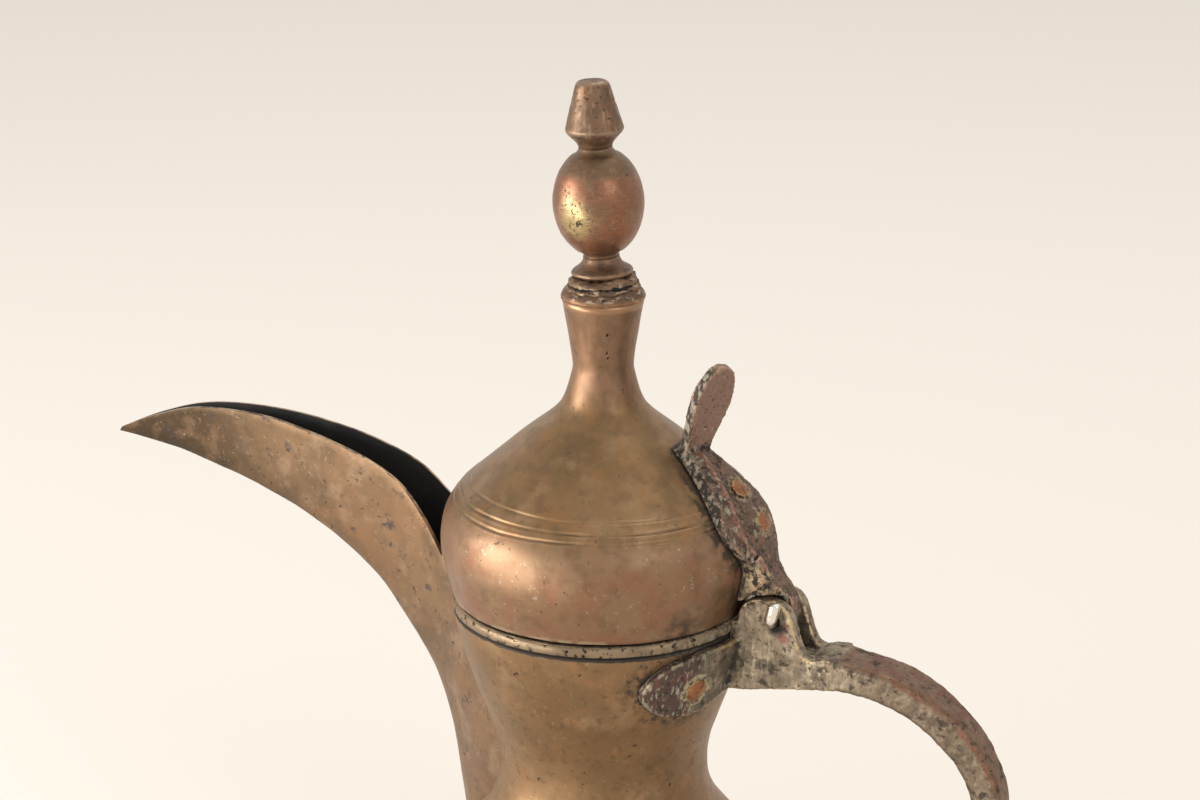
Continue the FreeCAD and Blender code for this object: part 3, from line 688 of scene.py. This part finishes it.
finishes["brightWire"] = {   # the hinge pin
    "colour": (0.78, 0.74, 0.66), "rough": 0.26, "metal": 1.0, "layers": [
        over((0.5, 0.42, 0.31), cloud(2.5, 0.52, 0.68), rough=0.4),
        over((0.32, 0.25, 0.18), cloud(0.7, 0.58, 0.75, 5), amount=0.6, rise=-0.02),
    ],
}
metals = {name: makeFinish(name, look) for name, look in finishes.items()}
print("finishes ready:", len(metals))

# Body: a raised bowl and an upper body, joined at the widest line
bodyLine = smoothLine(bodyShape["line"], 24)
footShape = {"inner": 53.6, "rise": 2.4, "soft": 0.5, "edge": [(-1.2, 0.0), (-0.4, 0.25)]}


def bodyPart(low, high, step):
    between = [p for p in bodyLine if low < p[1] < high]
    return evenLine([(radiusAt(bodyLine, low), low), *between, (radiusAt(bodyLine, high), high)], step)


def makeBowl():
    outer = bodyPart(0.0, bodyShape["seam"], bodyShape["bowlStep"])
    inner = [p for p in offsetLine(outer, -bodyShape["wall"]) if p[1] > footShape["rise"] + 1][::-1]
    soft, rise, reach = footShape["soft"], footShape["rise"], footShape["inner"]
    foot = [(inner[-1][0], rise), (reach + soft, rise), (reach, rise - soft), (reach, soft), (reach + soft, 0.0)]
    edge = [(outer[0][0] + r, z) for r, z in footShape["edge"]]
    bm = turnedMesh(outer[1:] + inner + foot + edge)
    dentRound(bm, *bodyShape["dents"])
    innerFaces(bm)
    finishPiece(bm, "bowl", ["oldBrass", "oldTin"], "pot", "body_metal", "lower_body")


pourShape = {
    "outline": [(-8, 152), (-13.5, 146), (-16.5, 132), (-17.5, 116), (-15, 101), (-8, 91)],   # across, height
    "reach": (-80.0, -20.0),
}


def makeUpperBody():
    outer = bodyPart(bodyShape["seam"], rimHeight, bodyShape["upperStep"])
    inner = offsetLine(outer, -bodyShape["wall"])
    inner[0] = (inner[0][0], bodyShape["seam"])
    inner[-1] = (inner[-1][0], rimHeight)
    edge = [(outer[-1][0] + r, rimHeight + z) for r, z in bodyShape["rimEdge"]]
    bm = turnedMesh(outer[:-1] + edge + inner[::-1])
    dentRound(bm, *bodyShape["dents"])

    tool = bmesh.new()
    half = smoothLine(pourShape["outline"], 5)
    around = half + [(-y, z) for y, z in half[::-1]]
    near, far = pourShape["reach"]
    face = tool.faces.new([tool.verts.new((near, y, z)) for y, z in around])
    pulled = bmesh.ops.extrude_face_region(tool, geom=[face])["geom"]
    bmesh.ops.translate(tool, vec=(far - near, 0, 0), verts=only(bmesh.types.BMVert, pulled))
    bmesh.ops.recalc_face_normals(tool, faces=tool.faces)
    toMetres(tool)
    bm = cutMesh(bm, [tool])
    innerFaces(bm)
    body = finishPiece(bm, "upperBody", ["oldBrass", "oldTin"], "pot", "body_metal", "upper_body", scale=1.0)
    markPiece(body, "near", nearRule("hinge_bracket", bodyShape["dirtAndShadowReach"]))


ringShape = {
    "corners": [           # radius, height above the rim
        (46.6, 0.0), (48.4, 0.0), (49.15, 0.35), (49.4, 0.9), (49.4, 2.3), (49.2, 3.2), (48.7, 3.75), (48.0, 4.0),
        (47.2, 4.0), (46.8, 3.85), (46.6, 3.5),
    ],
    "turns": 220,
    "wave": {"rise": 0.10, "above": 2, "spread": 3, "seed": 7.0, "scale": 1.5},
    "dents": (0.11, 3.0, 8.2),
}


def makeMouthRing():
    bm = turnedMesh(raiseLine(ringShape["corners"], rimHeight), ringShape["turns"])
    wave = ringShape["wave"]
    for v in bm.verts:
        if v.co.z > rimHeight + wave["above"]:
            turn = math.atan2(v.co.y, v.co.x)
            place = Vector((math.cos(turn) * wave["spread"], math.sin(turn) * wave["spread"], wave["seed"]))
            v.co.z += wave["rise"] * noise.noise(place * wave["scale"])
    dentRound(bm, *ringShape["dents"])
    ring = finishPiece(bm, "mouthRing", ["ringGrey"], "pot", "ring_metal", "mouth_ring")
    markPiece(ring, "near", nearRule("hinge_bracket", bodyShape["dirtAndShadowReach"]))


makeBowl()
makeUpperBody()
makeMouthRing()
print("body made")

# Lid: drum, shoulder and neck from one sheet, with incised rings
grooveShape = {
    "rings": [(43.0, 0.70), (40.2, 1.1), (37.7, 1.0)],   # height above the rim, strength
    "reach": (35.8, 45.2),
    "rowStep": 0.30,
    "depth": 0.48,
    "width": 0.42,
    "wander": 0.35,
    "press": {"mean": 0.62, "sway": 0.75, "least": 0.36},
    "burr": {"share": 0.22, "away": 1.6, "width": 0.5},
}
holeShape = {
    "places": [(94.2, 0.36, -58.5), (88.0, 0.28, -58.5), (86.3, 0.24, -56.5)],   # height above the rim, radius, azimuth
    "flare": 1.5,
    "depth": 3,
}


def grooveDepth(place):
    # how deep the rings are cut at a place on the outside
    height = place.z - rimHeight
    turn = Vector((place.x, place.y, 0)).normalized()
    press, burr = grooveShape["press"], grooveShape["burr"]
    sink = 0.0
    for k, (middle, strength) in enumerate(grooveShape["rings"]):
        sway = grooveShape["wander"] * noise.noise(turn * 1.6 + Vector((k * 5.3, 0, 0)))
        hand = max(press["mean"] + press["sway"] * noise.noise(turn * 3.1 + Vector((0, k * 7.7, 0))), press["least"])
        away = abs(height - middle - sway) / grooveShape["width"]
        sink += strength * hand * max(1 - away * away, 0.0)
        sink -= burr["share"] * strength * hand * math.exp(-((away - burr["away"]) / burr["width"]) ** 2)
    return grooveShape["depth"] * sink


def makeLid():
    line = smoothLine(lidShape["line"], 60)
    low, high = grooveShape["reach"]
    outer = [line[0]]
    for point in line[1:]:
        if math.dist(point, outer[-1]) >= (grooveShape["rowStep"] if low < point[1] < high else lidShape["step"]):
            outer.append(point)
    outer[-1] = line[-1]
    inner = evenLine(offsetLine(evenLine(line, lidShape["innerStep"]), -lidShape["wall"]), 0.5)
    lip = [(outer[0][0] + r, outer[0][1] + z) for r, z in lidShape["lip"]]
    bm = turnedMesh(raiseLine(lip[::-1] + outer + inner[::-1], rimHeight), lidShape["turns"])
    dentRound(bm, *lidShape["dents"])

    def cutRings(v):
        outside = v.normal.dot(Vector((v.co.x, v.co.y, 0))) >= 0
        if outside and low < v.co.z - rimHeight < high:
            return v.normal * -grooveDepth(v.co)
        return Vector()
    moveVerts(bm, cutRings)
    innerFaces(bm)

    tools = []
    for height, radius, azimuth in holeShape["places"]:
        turn = math.radians(azimuth)
        out = Vector((math.cos(turn), math.sin(turn), 0))
        place = out * radiusAt(line, height) + Vector((0, 0, height + rimHeight))
        tools.append(coneTool(place, out, radius, radius * holeShape["flare"], holeShape["depth"], 10))
    bm = cutMesh(bm, tools)
    lid = finishPiece(bm, "lid", ["oliveBrass", "oldTin"], "lid", "lid_metal", "lid", wear=True, scale=1.0)
    markPiece(lid, "near", nearRule("lid_leaf", lidShape["dirtAndShadowReach"]))


makeLid()
print("lid made")

# Finial: a stack of turned pieces on the neck, leaning a little towards the spout; heights are above the rim
finialShape = {
    "tilt": -3.3,
    "pivot": 106.0,
    "cap": [
        (0.0, 103.4), (12.9, 103.4), (13.5, 103.8), (13.55, 104.4), (13.2, 105.3), (12.6, 106.2), (11.4, 107.4),
        (10.6, 107.9), (0.0, 108.0),
    ],
    "solder": [
        (0.0, 106.8), (11.2, 106.4), (12.0, 107.0), (11.7, 107.9), (10.7, 108.3), (11.0, 109.0), (10.6, 109.9),
        (9.3, 110.7), (0.0, 110.8),
    ],
    "base": [
        (0.0, 110.6), (7.6, 110.6), (8.7, 110.9), (9.6, 111.6), (9.95, 112.2), (9.6, 112.8), (8.7, 113.5), (7.4, 114.3),
        (6.4, 115.3), (5.9, 116.4), (5.8, 117.3), (0.0, 117.4),
    ],
    "cone": [
        (0.0, 152.1), (5.3, 152.1), (5.5, 152.9), (5.9, 153.7), (7.2, 155.2), (8.6, 156.6), (9.15, 157.4), (9.3, 158.0),
        (9.1, 158.8), (8.5, 161.0), (7.4, 164.8), (6.3, 168.6), (5.6, 171.2), (5.2, 172.3), (4.5, 172.95), (3.4, 173.1),
        (1.6, 172.85), (0.0, 172.7),
    ],
}
ballShape = {
    "centre": 134.6, "radius": 14.45, "rise": 17.9, "low": 116.9, "high": 152.4, "steps": 56,
    "foot": [(5.6, 116.9), (5.5, 117.5), (5.8, 118.3), (6.7, 119.2)],
    "crown": [(6.7, 150.1), (5.9, 150.9), (5.4, 151.6), (5.3, 152.4)],
}


def leanFinial(bm):
    pivot = Matrix.Translation((0, 0, rimHeight + finialShape["pivot"]))
    turn = Matrix.Rotation(math.radians(finialShape["tilt"]), 4, "Y")
    bmesh.ops.transform(bm, matrix=pivot @ turn @ pivot.inverted(), verts=bm.verts)


def denserLine(line, step):
    # points added between the corners, so that small dents have somewhere to go
    out = [line[0]]
    for a, b in zip(line, line[1:]):
        parts = max(1, round(math.dist(a, b) / step))
        for k in range(1, parts + 1):
            out.append((a[0] + (b[0] - a[0]) * k / parts, a[1] + (b[1] - a[1]) * k / parts))
    return out


def ballLine():
    half = []
    for k in range(ballShape["steps"] + 1):
        angle = math.pi * k / ballShape["steps"] - math.pi / 2
        z = ballShape["centre"] + ballShape["rise"] * math.sin(angle)
        if ballShape["foot"][-1][1] < z < ballShape["crown"][0][1]:
            half.append((ballShape["radius"] * math.cos(angle), z))
    return [(0.0, ballShape["low"]), *ballShape["foot"], *half, *ballShape["crown"], (0.0, ballShape["high"])]


finialPieces = [   # name, line, finish, slot, node, dents (depth, size, seed), steps
    ("neckCap", finialShape["cap"], "capBrass", "lid_metal", "neck_cap", [(0.16, 3.0, 1.3)], 72),
    ("solderCollar", finialShape["solder"], "greySolder", "solder", "solder_collar",
     [(0.85, 4.2, 4.4), (0.55, 1.8, 9.4)], 130),
    ("finialBase", finialShape["base"], "finialCopper", "finial_brass", "finial_base", [(0.14, 3.0, 7.7)], 72),
    ("finialBall", ballLine(), "finialCopper", "finial_brass", "finial_ball", [(0.16, 9.0, 2.2), (0.05, 2.2, 6.1)], 96),
    ("finialCone", finialShape["cone"], "finialTan", "finial_brass", "finial_cone",
     [(0.22, 5.0, 3.9), (0.07, 1.5, 5.2)], 72),
]
for name, line, finish, slot, node, dents, steps in finialPieces:
    bm = turnedMesh(raiseLine(denserLine(line, 0.7), rimHeight), steps)
    for dent in dents:
        dentSkin(bm, *dent)
    if name != "neckCap":
        leanFinial(bm)
    finishPiece(bm, name, [finish], "lid", slot, node, wear=True)
print("finial made")

# Spout: one long gutter of sheet, its root let into the body
spoutShape = {
    "stations": [      # keel x, z, edge x, z, half width, fullness; heights above the rim
        (-187.0, 31.9, -185.8, 33.6, 0.7, 0.5),
        (-168.0, 29.9, -169.5, 41.0, 2.4, 0.5),
        (-150.3, 26.3, -150.0, 46.6, 3.8, 0.5),
        (-128.0, 19.6, -123.0, 47.4, 5.6, 0.5),
        (-105.0, 9.8, -95.0, 42.8, 8.0, 0.5),
        (-86.0, -3.6, -73.5, 35.0, 9.4, 0.52),
        (-72.5, -19.5, -61.0, 23.6, 11.4, 0.56),
        (-62.6, -35.0, -49.0, 8.0, 16.0, 0.6),
        (-56.2, -53.5, -32.0, -14.0, 24.0, 0.66),
        (-52.8, -76.0, -22.0, -52.0, 24.0, 0.68),
        (-50.0, -96.0, -20.0, -88.0, 16.0, 0.68),
    ],
    "wall": 1.3,
    "thin": (187.0, 160.0),   # the sheet thins towards the tip
    "thinLeast": 0.18,
    "edge": 0.28,
    "along": 150,
    "across": 40,
    "inside": (-105, 0, 10),   # a place in the gutter, which the faces turn away from
    "tuck": 0.75,          # how deep the root sits in the body's wall
    "clear": 0.15,         # room to the ring
    "snap": 1.6,           # edge points this near the body are brought to it
    "snapFrom": -66,
    "dents": (0.30, 14.0, (6.1, 1.7, 2.9)),
    "calm": (52, 64),      # no dents near the body
}
lidRoomLine = offsetLine(smoothLine(lidShape["line"][:5], 8), 1.5)


def clearRadius(height):
    # how near the axis the spout may come at a height above the rim
    if height <= 0:
        return radiusAt(bodyLine, height + rimHeight) - spoutShape["tuck"]
    ringRadius = max(r for r, z in ringShape["corners"]) + spoutShape["clear"]
    if height <= lidRoomLine[0][1]:
        return ringRadius
    return max(radiusAt(lidRoomLine, height), ringRadius)


def linkedFaces(start):
    # all the faces that hang together with one
    found, front = {start}, [start]
    while front:
        for edge in front.pop().edges:
            fresh = [f for f in edge.link_faces if f not in found]
            found.update(fresh)
            front += fresh
    return found


def makeSpout():
    rows = smoothLine(spoutShape["stations"], 24)
    bm = bmesh.new()
    bmesh.ops.create_grid(bm, x_segments=spoutShape["across"], y_segments=spoutShape["along"], size=1.0)
    for v in bm.verts:
        place = (v.co.y + 1) / 2 * (len(rows) - 1)
        k = min(int(place), len(rows) - 2)
        keelX, keelZ, edgeX, edgeZ, half, full = Vector(rows[k]).lerp(Vector(rows[k + 1]), place - k)
        across = v.co.x
        share = abs(across) ** (1 / full)
        v.co = (keelX + (edgeX - keelX) * share, across * half, keelZ + (edgeZ - keelZ) * share + rimHeight)
    bm.normal_update()
    inside = Vector(spoutShape["inside"]) + Vector((0, 0, rimHeight))
    probe = min(bm.faces, key=lambda f: (f.calc_center_median() - inside).length)
    if probe.normal.z > 0:
        bmesh.ops.reverse_faces(bm, faces=bm.faces)
    hidden = []
    for face in bm.faces:
        middle = face.calc_center_median()
        if middle.xy.length < clearRadius(middle.z - rimHeight):
            hidden.append(face)
    bmesh.ops.delete(bm, geom=hidden, context="FACES")
    kept = linkedFaces(min(bm.faces, key=lambda f: f.calc_center_median().x))
    bmesh.ops.delete(bm, geom=[f for f in bm.faces if f not in kept], context="FACES")
    for v in bm.verts:
        limit, reach = clearRadius(v.co.z - rimHeight), v.co.xy.length
        if v.is_boundary and reach < limit + spoutShape["snap"] and v.co.x > spoutShape["snapFrom"]:
            v.co.x *= limit / reach
            v.co.y *= limit / reach
    depth, size, seed = spoutShape["dents"]

    def dentSheet(v):
        calm = easeStep(*spoutShape["calm"], v.co.xy.length)
        return v.normal * depth * calm * ripple(v.co / size + Vector(seed))
    moveVerts(bm, dentSheet)
    spout = finishPiece(bm, "spout", ["spoutBrass", "spoutInsideShade", "wornEdge"], "pot", "spout_metal", "spout")
    thinEnd, fullFrom = spoutShape["thin"]
    sheet = spout.vertex_groups.new(name="sheet")
    for v in spout.data.vertices:
        sheet.add([v.index], easeStep(thinEnd * mm, fullFrom * mm, -v.co.x), "REPLACE")
    addModifier(
        spout, "SOLIDIFY", thickness=spoutShape["wall"] * mm, offset=-1.0, vertex_group="sheet",
        thickness_vertex_group=spoutShape["thinLeast"], use_even_offset=False, material_offset=1, material_offset_rim=2,
    )
    addModifier(
        spout, "BEVEL", width=spoutShape["edge"] * mm, segments=2, limit_method="ANGLE", angle_limit=math.radians(55),
    )


makeSpout()
print("spout made")

# Forged copper: bracket and handle are one forging, shown as two pieces that meet at the lap
forkShape = {
    "voxel": 0.50, "rounds": 4, "lap": 84.0, "overlap": 1.5,
    "chips": [(0.32, 9.0, 1.1), (0.17, 2.8, 5.5), (0.07, 1.2, 8.1)],
    "hole": {"side": -8.5, "radius": 3.1, "depth": 2.2},   # sunk round the pin
    "heart": (84.0, 95.0),   # the middle of the handle's curve
    "outerFrom": (-8, 6),    # where its back begins, round the lap
    "rivetReach": 1.6,
    "calm": 1.6,             # no wear this near the lap
}
pinShape = {
    "x": 63.0, "above": 6.6, "radius": 1.8, "half": 8.9, "bend": 2.4, "tail": 5.2, "lean": 13.0, "flat": 0.22,
    "round": 1.0,
}


def lengthenHandle(node, part):
    # the handle's end runs into the bracket's block, so that the two close up
    if node == "handle":
        for v in part.verts:
            if abs(v.co.x - forkShape["lap"]) < 0.01:
                v.co.x -= forkShape["overlap"]


def outerFace(place, normal):
    # 1 on the handle's back, which faces away from the middle of its curve
    away = Vector((place.x - forkShape["heart"][0], 0, place.z - forkShape["heart"][1])).normalized()
    low, high = forkShape["outerFrom"]
    return max(normal.dot(away), 0.0) * easeStep(forkShape["lap"] + low, forkShape["lap"] + high, place.x)


def makeFork():
    whole = forgedMesh(
        ["hinge_bracket", "handle"], forkShape["voxel"], forkShape["rounds"], forkShape["chips"], lengthenHandle,
    )
    handle = splitAcross(whole, forkShape["lap"], True)
    bracket = splitAcross(whole, forkShape["lap"], False)
    whole.free()
    arm = finishPiece(handle, "handle", ["forkCopper"], "pot", "forged_copper", "handle", wear=True)

    hole = forkShape["hole"]
    place = Vector((pinShape["x"], hole["side"], rimHeight + pinShape["above"]))
    tool = coneTool(place, Vector((0, 1, 0)), hole["radius"], pinShape["radius"], 2 * hole["depth"], 28)
    bm = cutMesh(bracket, [tool])
    fork = finishPiece(
        bm, "hingeBracket", ["forkCopper"], "pot", "forged_copper", "hinge_bracket", wear=True, scale=1.0,
    )
    rivets = nearRule("bracket_rivets", forkShape["rivetReach"])
    for piece in (arm, fork):
        markPiece(piece, "outer", outerFace)
        markPiece(piece, "rivet", rivets)
        for v, value in zip(piece.data.vertices, piece.data.attributes["wear"].data):
            if abs(v.co.x / mm - forkShape["lap"]) < forkShape["calm"]:
                value.value = wearShape["even"]


leafShape = {
    "voxel": 0.44, "rounds": 4, "chips": [(0.26, 6.0, 3.1), (0.18, 2.2, 7.5), (0.09, 0.9, 9.1)], "rivetReach": 1.3,
    "slim": 0.12,          # the eye round the pin is narrower, so that it turns freely in the fork
    "slimReach": (13.0, 9.0),
    "flank": (-0.25, -0.97, 0),
    "ridge": {
        "bin": 1.0, "rows": 4, "from": 16.0, "to": 62.0, "fade": 8,
        "place": 4.4, "width": 2.0, "rise": 1.2, "channel": 9.2, "channelWidth": 3.0, "sink": 0.6,
    },
}


def makeLeaf():
    # the leaf has a rounded ridge along its near edge and a shallow channel beside it
    bm = forgedMesh(["lid_leaf"], leafShape["voxel"], leafShape["rounds"], [])
    bm.normal_update()
    ridge = leafShape["ridge"]
    edges = {}
    for v in bm.verts:
        k = round(v.co.z / ridge["bin"])
        edges[k] = min(edges.get(k, 1e9), v.co.y)
    nearEdge = []
    for k in sorted(edges):
        around = [edges[n] for n in range(k - ridge["rows"], k + ridge["rows"] + 1) if n in edges]
        nearEdge.append((sum(around) / len(around), k * ridge["bin"]))
    moves, crest = [], []
    for v in bm.verts:
        across = v.co.y - radiusAt(nearEdge, v.co.z)
        height = v.co.z - rimHeight
        show = easeStep(ridge["from"], ridge["from"] + ridge["fade"], height)
        show *= easeStep(ridge["to"], ridge["to"] - ridge["fade"], height) * easeStep(0.1, 0.5, v.normal.x)
        bump = math.exp(-((across - ridge["place"]) / ridge["width"]) ** 2)
        dip = math.exp(-((across - ridge["channel"]) / ridge["channelWidth"]) ** 2)
        moves.append(v.normal * show * (ridge["rise"] * bump - ridge["sink"] * dip))
        crest.append(show * bump)
    for v, move in zip(bm.verts, moves):
        v.co += move
    for chip in leafShape["chips"]:
        dentSkin(bm, *chip)
    for v in bm.verts:
        away = math.hypot(v.co.x - pinShape["x"], v.co.z - rimHeight - pinShape["above"])
        v.co.y *= 1 - leafShape["slim"] * easeStep(*leafShape["slimReach"], away)
    leaf = finishPiece(bm, "hingeLeaf", ["leafCopper"], "lid", "forged_copper", "lid_leaf", wear=True)
    leaf.data.attributes.new("ridge", "FLOAT", "POINT").data.foreach_set("value", crest)
    markPiece(leaf, "flank", lambda place, normal: normal.dot(Vector(leafShape["flank"])))
    markPiece(leaf, "rivet", nearRule("leaf_rivets", leafShape["rivetReach"]))


makeFork()
makeLeaf()
print("forged pieces made")

# Rivets: low beaten heads
rivetShape = {
    "bracket_rivets": {"piece": "bracketRivets", "body": "pot", "voxel": 0.30},
    "foot_rivets": {"piece": "footRivets", "body": "pot", "voxel": 0.30},
    "leaf_rivets": {"piece": "leafRivets", "body": "lid", "voxel": 0.28},
}
rivetDents = [(0.16, 2.6, 4.1), (0.07, 0.9, 2.5)]
for node, shape in rivetShape.items():
    bm = forgedMesh([node], shape["voxel"], 3, rivetDents)
    finishPiece(bm, shape["piece"], ["copperRivet"], shape["body"], "rivet_copper", node, wear=True)


def pullEdges(bm, edges, move):
    # a tube drawn on from its open end; gives the new end's edges
    pulled = bmesh.ops.extrude_edge_only(bm, edges=edges)["geom"]
    verts = only(bmesh.types.BMVert, pulled)
    bmesh.ops.translate(bm, vec=move, verts=verts)
    return [e for e in only(bmesh.types.BMEdge, pulled) if all(v in verts for v in e.verts)]


def makePin():
    # hinge pin: bright wire with both ends bent over, the near end beaten flatter
    bm = bmesh.new()
    height = rimHeight + pinShape["above"]
    half, bend, tail = pinShape["half"], pinShape["bend"], pinShape["tail"]
    ring = bmesh.ops.create_circle(bm, cap_ends=False, segments=20, radius=pinShape["radius"])["verts"]
    stand = Matrix.Translation((pinShape["x"], half, height)) @ Matrix.Rotation(math.radians(90), 4, "X")
    bmesh.ops.transform(bm, matrix=stand, verts=ring)
    farEnd = list({e for v in ring for e in v.link_edges})
    nearEnd = pullEdges(bm, farEnd, (0, -2 * half, 0))
    for end, place, up in [(nearEnd, -half, 1), (farEnd, half, -1)]:
        turned = bmesh.ops.spin(
            bm, geom=end, cent=(pinShape["x"], place, height + up * bend), axis=(1, 0, 0), dvec=(0, 0, 0),
            angle=-math.pi / 2, steps=8, use_merge=False, use_normal_flip=False, use_duplicate=False,
        )["geom_last"]
        rim = pullEdges(bm, only(bmesh.types.BMEdge, turned), (0, 0, up * tail))
        bmesh.ops.contextual_create(bm, geom=rim)
        bmesh.ops.bevel(
            bm, geom=rim, offset=pinShape["round"], offset_type="OFFSET", affect="EDGES",
            segments=4, profile=0.5, material=-1,
        )
    for v in bm.verts:
        if v.co.y < -half:
            v.co.x = pinShape["x"] + (v.co.x - pinShape["x"]) * (1 + pinShape["flat"] * easeStep(0, 2, v.co.z - height))
            v.co.x += math.tan(math.radians(pinShape["lean"])) * max(v.co.z - height, 0)
    bmesh.ops.recalc_face_normals(bm, faces=bm.faces)
    finishPiece(bm, "hingePin", ["brightWire"], "pot", "pin_steel", "hinge_pin")


makePin()
print("rivets and pin made")

# Frame parts that stay take a finish of their own
for node, finish in {"base_plate": "oldBrass", "finial_stem": "brightWire"}.items():
    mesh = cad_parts[node].data
    mesh.materials.clear()
    mesh.materials.append(metals[finish])

# Floor, light and camera
floorShape = {"half": 9.0, "colour": (0.865, 0.825, 0.772), "rough": 0.85, "specular": 0.2}
floorBm = bmesh.new()
bmesh.ops.create_grid(floorBm, x_segments=2, y_segments=2, size=floorShape["half"])
floor = meshPiece(floorBm, "floor")
floorMaterial = bpy.data.materials.new("paleFloor")
floorMaterial.use_nodes = True
floorShader = floorMaterial.node_tree.nodes["Principled BSDF"]
floorShader.inputs["Base Color"].default_value = (*floorShape["colour"], 1)
floorShader.inputs["Roughness"].default_value = floorShape["rough"]
floorShader.inputs["Specular IOR Level"].default_value = floorShape["specular"]
floor.data.materials.append(floorMaterial)

cameraShape = {
    "lens": 85.05, "sensor": 36.0, "azimuth": 25.0, "elevation": 18.29, "distance": 0.909,
    "target": (0.0, 0.0, 0.2262), "sideways": -0.0010,
}
turn, rise = math.radians(cameraShape["azimuth"]), math.radians(cameraShape["elevation"])
towards = Vector((math.sin(turn) * math.cos(rise), -math.cos(turn) * math.cos(rise), math.sin(rise)))
rightward = Vector((math.cos(turn), math.sin(turn), 0))
target = Vector(cameraShape["target"]) + rightward * cameraShape["sideways"]
cameraData = bpy.data.cameras.new("camera")
cameraData.lens = cameraShape["lens"]
cameraData.sensor_width = cameraShape["sensor"]
camera = addObject("camera", cameraData)
camera.location = target + towards * cameraShape["distance"]
camera.rotation_euler = (-towards).to_track_quat("-Z", "Y").to_euler()
bpy.context.scene.camera = camera

worldShape = {"horizon": (0.95, 0.92, 0.88), "zenith": (0.80, 0.77, 0.73), "between": (0.10, 0.75), "strength": 1.0}
world = bpy.data.worlds.new("studio")
bpy.context.scene.world = world
world.use_nodes = True
worldTree = world.node_tree
skyward = newNode(worldTree, "SeparateXYZ", {0: newNode(worldTree, "TexCoord", {}).outputs["Generated"]}).outputs[2]
skyShare = rangeMask(worldTree, skyward, *worldShape["between"])
sky = blend(worldTree, "RGBA", skyShare, worldShape["horizon"], worldShape["zenith"])
background = worldTree.nodes["Background"]
worldTree.links.new(sky, background.inputs["Color"])
background.inputs["Strength"].default_value = worldShape["strength"]
bpy.context.scene.view_settings.view_transform = "Standard"

lampTarget = Vector((0, 0, 0.16))
lamps = [   # name, place, size, power, colour
    ("key", (-1.34, -0.98, 0.40), 0.60, 20.0, (1.0, 0.96, 0.90)),
    ("low", (-0.43, -0.85, 0.03), 0.35, 4.2, (1.0, 0.96, 0.91)),
    ("fill", (1.30, -0.75, 1.05), 0.5, 3.0, (1.0, 0.97, 0.92)),
    ("top", (0.10, 0.70, 1.90), 1.0, 6.0, (1.0, 0.97, 0.93)),
]
for name, place, size, power, colour in lamps:
    light = bpy.data.lights.new(name, "AREA")
    light.size = size
    light.energy = power
    light.color = colour
    lamp = addObject(name, light)
    lamp.location = place
    lamp.rotation_euler = (lampTarget - Vector(place)).to_track_quat("-Z", "Y").to_euler()
print("stage and camera set")
